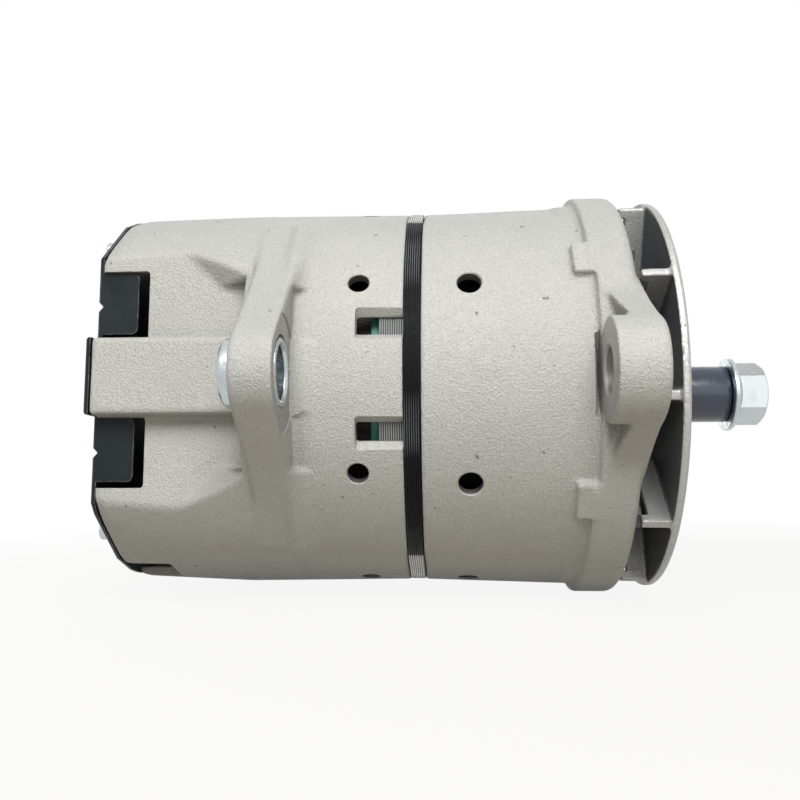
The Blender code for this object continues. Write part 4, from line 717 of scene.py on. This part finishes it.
def front_housing():
    space = Space((0.0020, -0.1120, -0.1120), (0.1090, 0.1500, 0.1120))
    start = BAND / 2.0 + GAP
    fields = []
    for back in (FRONT_BACK, WEB_BACK):
        fields.append(turned_field(space, rounded([
            (start, -0.02), (start, BODY_RADIUS, 0.0008), (back, FRONT_DRUM_RADIUS, 0.0030),
            (back + 0.0004, COLLAR_RADIUS, 0.0016), (FRONT_FACE, COLLAR_RADIUS, COLLAR_ROUND),
            (FRONT_FACE, 0.0410), (WEB_FACE, 0.0380), (WEB_FACE, -0.02),
        ])))
    angle = np.degrees(np.arctan2(np.abs(space.U), space.O))[None]
    field = np.where(angle < 28.5, fields[1], fields[0])
    share = np.clip((space.S - start) / (FRONT_BACK - start), 0.0, 1.0)
    radius = BODY_RADIUS + (FRONT_DRUM_RADIUS - BODY_RADIUS) * share
    run_out = np.clip((space.S - FRONT_BACK + 0.0095) * 0.9, 0.0, 0.02)
    field = with_flats(space, field, radius * math.cos(math.radians(FLAT_HALF)) + run_out)
    web = lug_outline(0.0229, (0.0314, 0.1123), (0.0484, 0.0869), (0.0590, 0.0725), 0.012)
    slant = FLANK_BACK + 0.0010 - 0.0088 * np.clip((np.abs(space.U)[None] - 0.0235) / 0.0265, 0.0, 1.0)
    field = soft_min(field, plate_field(space, web, slant, WEB_FACE, 0.0013), 0.0030)
    boss = np.hypot(space.O - HINGE, space.U) - FRONT_BOSS
    field = soft_min(field, between(space, boss, WEB_BACK, WEB_FACE, 0.0010), 0.0014)
    for degrees in (32.0, -32.0):
        pad = [(-0.0092, 0.0960), (0.0092, 0.0960), (0.0092, 0.1072), (-0.0092, 0.1072)]
        block = plate_field(space, pad, FRONT_BACK - 0.0072, FRONT_BACK + 0.0050, 0.0014, degrees)
        field = soft_min(field, block, 0.0022)
    made = net("front_casting", space, field)

    inside = CORE_RADIUS + GAP
    wall = FRONT_FACE - 0.0095
    hub_back = 0.0850 - GAP
    seat = 0.0310 + GAP
    seat_end = 0.0850 + 0.0170 + GAP
    hollow = core("hollow", [
        (start - OVER, inside), (wall - 0.0022, inside), (wall, inside - 0.0022), (wall, 0.0410),
        (hub_back, 0.0410), (hub_back, seat), (seat_end, seat), (seat_end, 0.0270), (WEB_FACE + OVER, 0.0270),
    ], 144)
    combined(hollow, [box("pad", 0.0760, wall + OVER, -0.0330, 0.0330, 0.0870, 0.15)])
    combined(made, [hollow])
    combined(made, [core("spot", [(WEB_BACK - 0.0022, 0.0266), (WEB_BACK + 0.0001, 0.0270)], 120, HINGE)])
    windows = air_windows(0.0475, 0.0820, wall - OVER, FRONT_FACE + OVER)
    holes = rods("holes", wall - OVER, FRONT_FACE + OVER, 0.0033, 24, SCREW_CIRCLE, BOLTS)
    vents = vent_cutters(0.0265, FRONT_VENTS, FRONT_VENT)
    bore = rod("bore", WEB_BACK - OVER, WEB_FACE + OVER, 0.01025, 96, HINGE)
    sinks = []
    for face, inward in ((WEB_BACK, 1.0), (WEB_FACE, -1.0)):
        profile = [(face - inward * OVER, 0.0113), (face, 0.0113), (face + inward * 0.0010, 0.0102)]
        sinks.append(core("sink", profile, 96, HINGE))
    combined(made, [windows, holes, vents, bore])
    combined(made, [merged("sinks", sinks)])

    centre, normal = faces_of(made)
    away = off_hinge(centre)
    bored = (away < 0.0275) & (np.abs(centre[:, 0] - at(WEB_BACK + 0.0001)) < 0.00005)
    bored |= (away < 0.0115) & (np.abs(normal[:, 0]) < 0.9)
    # Inner faces that face the shaft take the darker cast: painted shade inside the housing.
    inner_shade = (off_shaft(centre) < 0.0990) & faces_shaft(centre, normal) & (centre[:, 0] < at(wall))
    # Hole walls take the dark tapped look: painted shade.
    shaded_hole_wall = vent_wall(centre, normal, 0.0265, FRONT_VENTS, FRONT_VENT)
    paint(made, (1, bored), (2, inner_shade), (3, shaded_hole_wall))
    dress(made, [cast, machined, shaded_inner_cast, shaded_thread], ["front_housing"], 30.0)


def vent_wall(centre, normal, station, angles, size):
    """The walls of the round holes, which are tapped."""
    chosen = np.zeros(len(centre), bool)
    for degrees in angles:
        y, z = around(1.0, degrees)
        along = centre[:, 1] * y + centre[:, 2] * z
        across = np.hypot(centre[:, 0] - at(station), centre[:, 1] * z - centre[:, 2] * y)
        outward = np.abs(normal[:, 1] * y + normal[:, 2] * z)
        chosen |= (along > 0.05) & (across < size + 0.0003) & (outward < 0.4)
    return chosen


def vent_cutters(station, angles, size):
    """Round holes that point outwards from the shaft, with a small chamfer."""
    low = CORE_RADIUS - DRUM_WALL * 2.0 + SHAFT_END
    rim = BODY_RADIUS + 0.0002 + SHAFT_END
    vents = []
    for degrees in angles:
        vent = core("vent", [
            (low, size), (rim - 0.0004, size), (rim + 0.0002, size + 0.0005), (rim + 0.008, size + 0.0008),
        ], 40)
        vents.append(shifted(rotated(rotated(vent, -90.0, "Z"), -degrees), at(station)))
    return merged("vents", vents)


def facet_field(space):
    """The rear housing's height on the hinge side: the sunk flat and its sloping banks."""
    out, up = space.facing(FACET_ANGLE)
    out, up = out[None], np.abs(up)[None]
    run, fall = 0.1140 - 0.0935, 0.0645 - 0.0439
    length = math.hypot(run, fall)
    valley = ((space.S + 0.0935) * fall + (up - 0.0439) * run) / length
    bank = up - 0.0439 + (space.S + 0.0935) * 0.0014 / 0.0145
    first = (out - FACET_HEIGHT - 0.75 * valley) / math.hypot(1.0, 0.75)
    second = (out - FACET_HEIGHT - 1.94 * bank) / math.hypot(1.0, 1.94)
    return soft_min(out - FACET_HEIGHT, np.maximum(first, second), 0.0012)


def rear_housing():
    space = Space((-0.1580, -0.1080, -0.1080), (-0.0020, 0.1500, 0.1080))
    start = BAND / 2.0 + GAP
    profile = rounded([
        (-start, -0.02), (-start, BODY_RADIUS, 0.0008), (-0.0920, 0.1032, 0.060),
        (-0.1480, 0.1008, 0.0080), (-REAR_FACE, 0.0992, 0.0022), (-REAR_FACE, -0.02),
    ])
    field = turned_field(space, profile)
    for degrees in (51.0, -51.0):
        chord = space.facing(degrees)[0][None]
        field = soft_max(field, chord - 0.0978 + (space.S + REAR_FACE) * -0.35, 0.0015)
    field = with_flats(space, field, BODY_RADIUS * math.cos(math.radians(FLAT_HALF)))
    reach = np.clip((space.S + 0.0790) * 1.5, -0.05, 0.05)
    field = soft_max(field, np.minimum(facet_field(space), -reach), 0.0015)
    rib = rounded([
        (RIB_HALF, 0.0700), (RIB_HALF, RIB_HEIGHT, 0.0024),
        (-RIB_HALF, RIB_HEIGHT, 0.0024), (-RIB_HALF, 0.0700),
    ])
    field = soft_min(field, plate_field(space, rib, -REAR_FACE, -0.0690, 0.0014, FACET_ANGLE), 0.0020)
    lug = lug_outline(0.0215, (0.0405, 0.1065), (0.0560, 0.0900), (0.0790, 0.0665), 0.016)
    side = np.abs(space.U)[None]
    scoop = np.clip((side - 0.0160) / 0.0022, 0.0, 1.0) * np.clip((0.0425 - side) / 0.0022, 0.0, 1.0)
    front = np.clip((space.S + 0.0620) / 0.0050, 0.0, 1.0)
    fillet = 0.0040 + front * (0.0085 * (1.0 - scoop) - 0.0015 * scoop)
    field = soft_min(field, plate_field(space, lug, -LUG_BACK, -LUG_FRONT, 0.0022), fillet)
    made = net("rear_casting", space, field)

    inside = CORE_RADIUS + GAP
    wall_front = 0.0760
    wall_back = 0.0840
    rear_inside = 0.1008 - DRUM_WALL
    shelf = FACET_HEIGHT - 0.0042
    front_hollow = rod("hollow", -wall_front, -start + OVER, inside, 144)
    rear_hollow = rod("hollow", -REAR_END - OVER, -wall_back, rear_inside, 144)
    end = -REAR_END - OVER * 2.0
    combined(rear_hollow, [box("shelf", end, -wall_back + OVER, -0.15, 0.15, shelf, 0.15, FACET_ANGLE)])
    combined(rear_hollow, [rods("bosses", end, -REAR_END + 0.0140, 0.0065, 32, SCREW_CIRCLE, COVER_SCREWS)])
    combined(made, [front_hollow, rear_hollow])
    combined(made, [air_windows(0.0450, 0.0780, -wall_back - OVER, -wall_front + OVER)])
    hub = rod("hub", -0.0970, -wall_back + GAP, 0.0270, 64)
    posts = [rods("posts", -0.1177, -wall_back + GAP, 0.0055, 24, 0.0560, (120.0, 180.0, 240.0))]
    reach = 0.0430 * 0.38
    for circle in (0.0530 + reach, 0.0530 - reach):
        posts.append(rod("post", -0.1117, -wall_back + GAP, 0.0055, 24, circle))
    combined(made, [hub, merged("posts", posts)], "UNION")
    seat = core("seat", [(-0.1010, 0.0203), (-0.0837, 0.0203), (-0.0837, 0.0145), (-0.0720, 0.0145)], 64)
    combined(made, [seat, vent_cutters(-0.0252, REAR_VENTS, REAR_VENT)])

    cuts = [(sign * 0.0190, sign * 0.0530, 0.0246, 0.0018, shelf, FACET_ANGLE) for sign in (1.0, -1.0)]
    cuts += [(-0.0130, 0.0130, 0.0255, 0.0020, rear_inside, degrees) for degrees in SIDE_WINDOWS]
    notches = []
    for near, far, depth, corner, floor, degrees in cuts:
        notches.append(slab("notch", rounded([
            (-REAR_END - OVER, near), (-REAR_END + depth, near, corner),
            (-REAR_END + depth, far, corner), (-REAR_END - OVER, far),
        ], 4), floor - OVER, 0.12, degrees))
    combined(made, [merged("notches", notches)])
    combined(made, slot_cutters(start))
    face = -LUG_FRONT
    bore = rod("bore", -LUG_BACK - OVER, face + OVER, BUSH_RADIUS + GAP, 96, HINGE)
    spot = core("spot", [(face - 0.0005, 0.0262), (face + OVER * 4.0, 0.0266)], 96, HINGE)
    combined(spot, [core("below", [(face - OVER, 0.1038), (face + OVER * 5.0, 0.1042)], 180)])
    sink = core("sink", [(face + OVER, 0.0163), (face - 0.0024, 0.0160)], 96, HINGE, 0.25)
    combined(made, [bore, spot, sink])
    combined(made, [rods("holes", -REAR_END - OVER, -REAR_END + 0.0093, 0.0028, 24, SCREW_CIRCLE, COVER_SCREWS)])

    centre, normal = faces_of(made)
    radius = off_shaft(centre)
    away = off_hinge(centre)
    # Inner faces take the darker cast: painted shade inside the housing.
    inner_shade = (radius < 0.0975) & (faces_shaft(centre, normal) | (radius < 0.0700))
    faced = (away < 0.0254) & (np.abs(centre[:, 0] - at(face - 0.0005)) < 0.0002)
    faced |= (away < 0.0166) & (centre[:, 0] > at(-LUG_BACK - 0.001)) & (centre[:, 0] < at(face + 0.001))
    # Hole walls take the dark tapped look: painted shade.
    shaded_hole_wall = vent_wall(centre, normal, -0.0252, REAR_VENTS, REAR_VENT)
    paint(made, (2, inner_shade), (1, faced), (3, shaded_hole_wall))
    dress(made, [cast, machined, shaded_inner_cast, shaded_thread], ["rear_housing"], 30.0)


def slot_cutters(start):
    """Open slots beside the band, each in a shallow recess with soft sides."""
    slots = []
    rims = []
    back = -start - 0.0217
    mouth = -start + OVER

    def outline(end, half, radius):
        return rounded([(end, -half, radius), (mouth, -half), (mouth, half), (end, half, radius)], 4)

    floor = (BODY_RADIUS - 0.0034, 0.0046, back - 0.0002)
    crest = (BODY_RADIUS + 0.0016, 0.0094, back - 0.0003)
    for degrees in (14.4, -14.4):
        slots.append(slab("slot", outline(back, 0.0045, 0.0012), CORE_RADIUS - DRUM_WALL, 0.12, degrees))
        layers = []
        for out, half, end in (floor, crest):
            layers.append([(at(s), -out, up) for s, up in outline(end, half, 0.0016)])
        rims.append(skinned("rim", layers, degrees))
    return [merged("slots", slots), merged("rims", rims)]


# Stator
def flat_radius(radius, degrees):
    """Radius of the round body where its side flats are taken off."""
    depth = BODY_RADIUS * math.cos(math.radians(FLAT_HALF))
    for middle in (FLAT_ANGLE, 360.0 - FLAT_ANGLE):
        turn = abs((degrees - middle + 180.0) % 360.0 - 180.0)
        if turn < 60.0:
            radius = min(radius, depth / math.cos(math.radians(turn)))
    return radius


def stator():
    half = 0.0155
    band = BAND / 2.0
    sheets = 7
    profile = [(-half, 0.0732), (-half, CORE_RADIUS), (-band, CORE_RADIUS), (-band, BAND_RADIUS - 0.0004)]
    for index in range(sheets):
        low = -band + BAND * index / sheets
        high = low + BAND / sheets
        mid = (low + high) / 2.0
        profile += [
            (low + 0.00012, BAND_RADIUS), (mid, BAND_RADIUS + 0.00006),
            (high - 0.00012, BAND_RADIUS), (high, BAND_RADIUS - 0.00035),
        ]
    profile += [(band, CORE_RADIUS), (half, CORE_RADIUS), (half, 0.0732)]
    made = turned("stator_stack", profile, 180, 0.0, 360.0, flat_radius)
    cutters = []
    for index in range(36):
        cutters.append(box("slot", -half - OVER, half + OVER, -0.0031, 0.0031, 0.0692, 0.0837, 10.0 * index))
    cutters.append(rods("holes", -half - OVER, half + OVER, 0.0033, 24, SCREW_CIRCLE, BOLTS))
    combined(made, [merged("slots", cutters)])

    centre = face_values(made, "center", 3)
    radius = off_shaft(centre)
    angle = np.degrees(np.arctan2(np.abs(centre[:, 2]), -centre[:, 1]))
    bare = (radius > 0.0985) & (np.abs(angle - FLAT_ANGLE) < FLAT_HALF + 0.4)
    paint(made, (1, bare), (2, radius < 0.0985))
    dress(made, [band_black, band_bare, iron], ["stator_core"], 40.0)
    for name, sign in (("front_slot_liners", 1.0), ("rear_slot_liners", -1.0)):
        low, high = sorted((sign * (half + 0.0002), sign * (half + 0.0042)))
        ring = turned(name, [(low, 0.0868), (low, 0.0905), (high, 0.0905), (high, 0.0868)], 144)
        dress(bevelled(ring, 0.0004), [green], [])


# Rear cover
def rear_cover():
    front = -REAR_END - GAP
    back = front - 0.0017
    sheet = -REAR_FACE - GAP
    high = FACET_HEIGHT - 0.0022
    layers = []
    for station, inset in ((back, 0.0013), (back + 0.0005, 0.0005), (back + 0.0012, 0.0), (sheet, 0.0)):
        layers.append([(at(station), -out, up) for up, out in cover_outline(high, inset)])
    made = skinned("cover_sheet", layers)
    tabs = []
    for near, far in ((0.0221, 0.0525), (-0.0194, -0.0500)):
        tip = back + 0.0204
        corners = [
            (back + 0.0009, near, 0.0), (tip, near, 0.0034), (tip, far, 0.0030), (back + 0.0009, far, 0.0),
        ]
        tabs.append(slab("tab", rounded(corners, 6), high - 0.0015, high, FACET_ANGLE))
    combined(made, [merged("tabs", tabs)], "UNION")
    cutters = [dent(back, sign * 0.0360, high) for sign in (1.0, -1.0)]
    for middle in COVER_SLOTS:
        cutters.append(box("slot", back - OVER, front + OVER, -0.0042, 0.0042, 0.0330, 0.0700, middle, 0.0040, 6))
    cutters.append(rod("hole", back - OVER, front + OVER, 0.0130, 48))
    cutters.append(rods("holes", back - OVER, front + OVER, 0.0028, 24, SCREW_CIRCLE, COVER_SCREWS))
    cutters.append(rod("hole", back - OVER, front + OVER, 0.0083, 32, TERMINAL, 180.0))
    combined(made, [merged("cutters", cutters)])

    centre, normal = faces_of(made)
    cosine, sine = math.cos(math.radians(FACET_ANGLE)), math.sin(math.radians(FACET_ANGLE))
    out = -centre[:, 1] * cosine + centre[:, 2] * sine
    up = np.abs(centre[:, 2] * cosine + centre[:, 1] * sine)
    # Faces round the pressed dents take bright zinc: a painted highlight along the dents' edges.
    dent_highlight = (np.abs(up - 0.0360) < 0.0040) & (out > high - 0.0021) & (np.abs(normal[:, 2]) > 0.3)
    paint(made, (1, dent_highlight & (centre[:, 0] < at(back + 0.0040))))
    bevelled(made, 0.00045, 2, 50.0)
    dress(made, [black, zinc], ["rear_cover"], 40.0)


def cover_outline(facet, inset):
    """Edge of the cover as (up, out) pairs: round, with chords, the sunk flat and the rib's end."""
    side = RIB_HALF - inset
    outline = []
    for index in range(1440):
        turn = math.radians(index / 4.0)
        radius = 0.0994 - inset
        for degrees, depth in ((51.0, 0.0976), (-51.0, 0.0976), (FLAT_ANGLE, 0.0990), (-FLAT_ANGLE, 0.0990)):
            across = math.cos(turn - math.radians(degrees))
            if across > 0.5:
                radius = min(radius, (depth - inset) / across)
        own = turn - math.radians(FACET_ANGLE)
        if math.cos(own) > 0.5:
            flat = (facet - inset) / math.cos(own)
            crest = (RIB_HEIGHT - inset) / math.cos(own)
            if math.sin(own) != 0.0:
                crest = min(crest, side / abs(math.sin(own)))
            radius = min(radius, max(flat, crest))
        outline.append(on_ring(radius, index / 4.0))
    return outline


def dent(back, middle, high):
    """The pressed notch at a tab's bend: a V that widens outwards."""
    layers = []
    for out, half, depth in ((-0.0060, 0.0010, 0.0010), (-0.0018, 0.0022, 0.0020), (0.0006, 0.0034, 0.0031)):
        mouth = half * (depth + OVER) / depth
        corners = [(back - OVER, middle - mouth), (back + depth, middle), (back - OVER, middle + mouth)]
        layers.append([(at(s), -high - out, up) for s, up in corners])
    return skinned("dent", layers, FACET_ANGLE)


def cover_screws():
    seat = -REAR_END - GAP * 2.0 - 0.0017
    top = seat - 0.0040
    tip = seat + 0.0107
    for number, degrees in enumerate(COVER_SCREWS, 1):
        made = core("cover_cap_screw_%d" % number, [
            (top + 0.0022, 0.00235), (top, 0.00235), (top, 0.0043), (top + 0.0004, 0.0047),
            (seat, 0.0047), (seat, 0.0025), (tip, 0.0025),
        ], 32, SCREW_CIRCLE, degrees)
        dress(made, [zinc], ["cover_screw_%d" % number])


# Bush, sleeve, nut and shaft
def bush():
    back = -LUG_FRONT - 0.0008 - BUSH_LENGTH
    front = -LUG_FRONT - 0.0001
    edge = BUSH_RADIUS - BUSH_CHAMFER
    profile = rounded([
        (back, BUSH_BORE + 0.0004, 0.0003), (back, edge, 0.0003), (back + BUSH_CHAMFER, BUSH_RADIUS, 0.0002),
        (front - 0.0004, BUSH_RADIUS, 0.0002), (front, BUSH_RADIUS - 0.0006, 0.0003),
        (front, BUSH_BORE + 0.0007, 0.0003), (front - 0.0014, BUSH_BORE - 0.0001),
        (back + 0.0005, BUSH_BORE),
    ], 3)
    made = turned("bush_ring", profile, 120, -96.0, 352.0)
    shifted(made, 0.0, -HINGE)
    dress(made, [zinc], ["sliding_bush"], 28.0, "bush")


def hexagon(corner):
    return [on_ring(corner, 30.0 + 60.0 * index) for index in range(6)]


def flange_nut():
    top = SHAFT_END + GAP
    base = SHAFT_END - 0.0190
    flat = 0.0150
    corner = flat * 2.0 / math.sqrt(3.0)
    made = prism("hex_nut", hexagon(corner), base + 0.0012, top)
    flange = core("flange", [
        (base, 0.0199), (base + 0.0005, 0.0204), (base + 0.0022, 0.0204), (base + 0.0030, 0.0198),
        (base + 0.0040, 0.0172), (base + 0.0052, flat + 0.0004),
    ], 120)
    combined(made, [flange], "UNION", "EXACT")
    cone = turned("cone", [
        (top, flat - 0.0006), (top - 0.0022, corner + 0.0004), (top - 0.0022, corner + OVER),
        (top + OVER, corner + OVER), (top + OVER, flat - 0.0006),
    ], 120)
    bore = core("bore", [
        (base - OVER, 0.0103), (top - 0.0012, 0.0103), (top + 0.0002, 0.0116), (top + OVER, 0.0116),
    ], 96)
    combined(made, [cone, bore], "DIFFERENCE", "EXACT")
    bevelled(made, 0.0004, 2, 25.0)
    dress(made, [zinc], ["flange_nut"], 30.0, "rotor")


def drive_end():
    low = 0.1265 + GAP
    high = SHAFT_END - 0.0190 - GAP
    bore = 0.0113
    made = turned("sleeve", rounded([
        (low, bore), (low, 0.0156, 0.0008), (high, 0.0156, 0.0008), (high, bore),
    ], 4), 120)
    dress(made, [sleeve_black], ["pulley_spacer"], body="rotor")
    profile = [
        (-0.0975, 0.0), (-0.0975, 0.0075), (-0.0965, 0.0085), (-0.0837, 0.0085), (-0.0837, 0.0125),
        (0.1023, 0.0125), (0.1023, 0.0110), (0.1660, 0.0110),
    ]
    profile += thread(0.1672, SHAFT_END - 0.0022, 0.0015, 0.0100, 0.0092)
    profile += [(SHAFT_END - 0.0012, 0.0098), (SHAFT_END, 0.0086), (SHAFT_END, 0.0030), (SHAFT_END - 0.0030, 0.0)]
    made = turned("shaft_bar", profile, 64)
    dress(made, [bright], ["shaft"], 25.0, "rotor")


def fan():
    space = Space((0.1045, -0.1075, -0.1075), (0.1290, 0.1075, 0.1075), 0.0009)
    field = turned_field(space, rounded([
        (0.1070, -0.02), (0.1070, 0.0200), (0.1185, 0.0215, 0.003), (0.1200, 0.0300),
        (0.1202, 0.1030), (0.1190, 0.1045, 0.0006), (0.1235, 0.1047, 0.0012), (0.1235, 0.0260),
        (0.1265, 0.0200), (0.1265, -0.02),
    ], 4))
    # Each blade reaches forward only outside the heads of the through bolts.
    for index in range(10):
        turn = -5.1 + 36.0 * index - (2.3 if index == 1 else 0.0)
        for inner, front, fillet in ((0.0580, 0.1094, 0.0026), (0.0978, 0.1060, 0.0004)):
            blade = [(-0.0021, inner), (0.0021, inner), (0.0021, 0.1028), (-0.0021, 0.1028)]
            field = soft_min(field, plate_field(space, blade, front, 0.1215, 0.0006, turn), fillet)
    made = net("fan_casting", space, field)
    combined(made, [rod("bore", 0.1040, 0.1300, 0.0113, 64)])

    centre, normal = faces_of(made)
    radius = off_shaft(centre)
    rim = (radius > 0.1025) & (centre[:, 0] > at(0.1196))
    # Disc faces that look back between the blades get the dark copy: painted shade.
    shaded_disc = (radius < 0.1024) & (centre[:, 0] > at(0.1150)) & (centre[:, 0] < at(0.1209))
    paint(made, (1, rim), (2, shaded_disc & (normal[:, 0] < -0.6)))
    dress(made, [fan_cast, fan_rim, fan_disc_shade], ["fan"], 40.0, "rotor")


def output_terminal():
    plate_back = -0.1180 - 0.0040 * 2.0 - 0.0120
    cover_back = -REAR_END - GAP - 0.0017
    tip = cover_back - 0.0170
    base = plate_back - GAP
    foot = base - 0.0034
    profile = [(tip, 0.0030), (tip + 0.0008, 0.0039)]
    profile += thread(tip + 0.0012, cover_back + 0.0002, 0.0012, 0.0040, 0.0034)
    profile += [(foot, 0.0040), (foot, 0.0085), (base, 0.0085)]
    dress(core("terminal_stud", profile, 48, TERMINAL, 180.0), [bright], ["output_stud"], 25.0)
    seat = cover_back - GAP
    top = seat - 0.0050
    made = moved_to(turned("terminal_insulator", rounded([
        (top, 0.0043), (top, 0.0105, 0.0010), (seat, 0.0105, 0.0005),
        (seat, 0.0080), (foot - GAP, 0.0080), (foot - GAP, 0.0043),
    ], 4), 64), TERMINAL, 180.0)
    dress(made, [plastic], ["output_insulator"])
    low = top - GAP - 0.0065
    made = prism("terminal_nut", hexagon(0.0075), low, top - GAP)
    hole = rod("hole", low - OVER, top + OVER, 0.0043, 48)
    cone = turned("cone", [
        (low, 0.0062), (low + 0.0010, 0.0078), (low + 0.0010, 0.0110), (low - OVER, 0.0110), (low - OVER, 0.0062),
    ], 64)
    combined(made, [hole, cone], "DIFFERENCE", "EXACT")
    bevelled(moved_to(made, TERMINAL, 180.0), 0.0002, 2, 25.0)
    dress(made, [zinc], ["output_nut"], 30.0)


def carried_nodes():
    """Better materials for the CAD nodes that stay as they are."""
    looks = {
        "stator_winding": winding, "field_coil": copper, "field_core": soft_iron, "drive_pole": soft_iron,
        "ring_pole": soft_iron, "negative_heat_sink": shaded_inner_cast, "positive_heat_sink": shaded_inner_cast,
        "voltage_regulator": plastic, "pole_joining_ring": bright,
    }
    for name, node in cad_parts.items():
        look = looks.get(name)
        if look is None:
            if "insulator" in name:
                look = plastic
            # The through bolts take the dark colour: painted shade.
            elif "bolt" in name:
                look = bolt_shade
            elif "screw" in name or "retainer" in name or "cage" in name:
                look = zinc
            else:
                look = bright
        node.data.materials.clear()
        node.data.materials.append(look)


def stage():
    """A wide pale floor that looks white to the camera and in reflections."""
    size = 6.0
    corners = [(-size, -size), (size, -size), (size, size), (-size, size)]
    shape = bmesh.new()
    shape.faces.new([shape.verts.new((x, y, cad_low[2] - 0.0002)) for x, y in corners])
    floor = object_from("floor", shape)
    look = Look("floor_white", (0.43, 0.385, 0.31), 0.0, 0.9, 0.0)
    path = look.add("ShaderNodeLightPath")
    seen = look.math("MAXIMUM", path["Is Camera Ray"], path["Is Glossy Ray"])
    share = look.math("MULTIPLY", seen, look.band(length(look.tree, look.place), 0.30, 0.75, 0.90, 1.0))
    glow = look.add("ShaderNodeEmission", {"Strength": 1.0})
    mix = look.add("ShaderNodeMixShader", {0: share, 1: look.shader.outputs[0], 2: glow[0]})
    look.tree.links.new(mix[0], look.tree.nodes["Material Output"].inputs["Surface"])
    floor.data.materials.append(look.material)


def lights():
    world = bpy.data.worlds.new("studio")
    bpy.context.scene.world = world
    world.use_nodes = True
    tree = world.node_tree
    back = tree.nodes["Background"]
    path = add(tree, "ShaderNodeLightPath")
    seen = joined(tree, "MAXIMUM", path["Is Camera Ray"], path["Is Transmission Ray"])
    seen = joined(tree, "MAXIMUM", seen, path["Is Glossy Ray"])
    tree.links.new(ranged(tree, seen, 0.0, 1.0, 0.15, 1.0), back.inputs["Strength"])
    back.inputs["Color"].default_value = (1.0, 1.0, 1.0, 1.0)
    for name, place, aim, size, power, colour in (
        ("key", (-0.15, -0.97, 0.84), (-0.17, 0.0, 0.0), 0.9, 18.6, (1.0, 1.0, 0.985)),
        ("front", (0.25, -1.60, 0.42), (-0.12, 0.0, 0.0), 2.0, 6.2, (0.99, 0.995, 1.0)),
        ("back", (-0.20, 1.60, 0.30), (-0.17, 0.0, 0.0), 2.0, 7.0, (1.0, 1.0, 1.0)),
    ):
        lamp = bpy.data.lights.new(name, "AREA")
        lamp.shape = "DISK"
        lamp.size = size
        lamp.energy = power
        lamp.color = colour
        made = placed(name, lamp)
        made.location = place
        made.rotation_euler = (Vector(aim) - Vector(place)).to_track_quat("-Z", "Y").to_euler()


def camera():
    data = bpy.data.cameras.new("camera")
    data.sensor_width = 36.0
    data.lens = 37.90
    made = placed("camera", data)
    right = Vector((0.99834, 0.0576, -0.0021)).normalized()
    back = Vector((0.0572, -0.9949, -0.0835)).normalized()
    up = back.cross(right).normalized()
    right = up.cross(back).normalized()
    matrix = Matrix((right, up, back)).transposed().to_4x4()
    matrix.translation = (-0.17285, -0.47885, -0.04222)
    made.matrix_world = matrix
    bpy.context.scene.camera = made


carried_nodes()
front_housing()
rear_housing()
stator()
rear_cover()
cover_screws()
bush()
flange_nut()
drive_end()
fan()
output_terminal()
stage()
lights()
camera()
bpy.context.scene.view_settings.view_transform = "Standard"
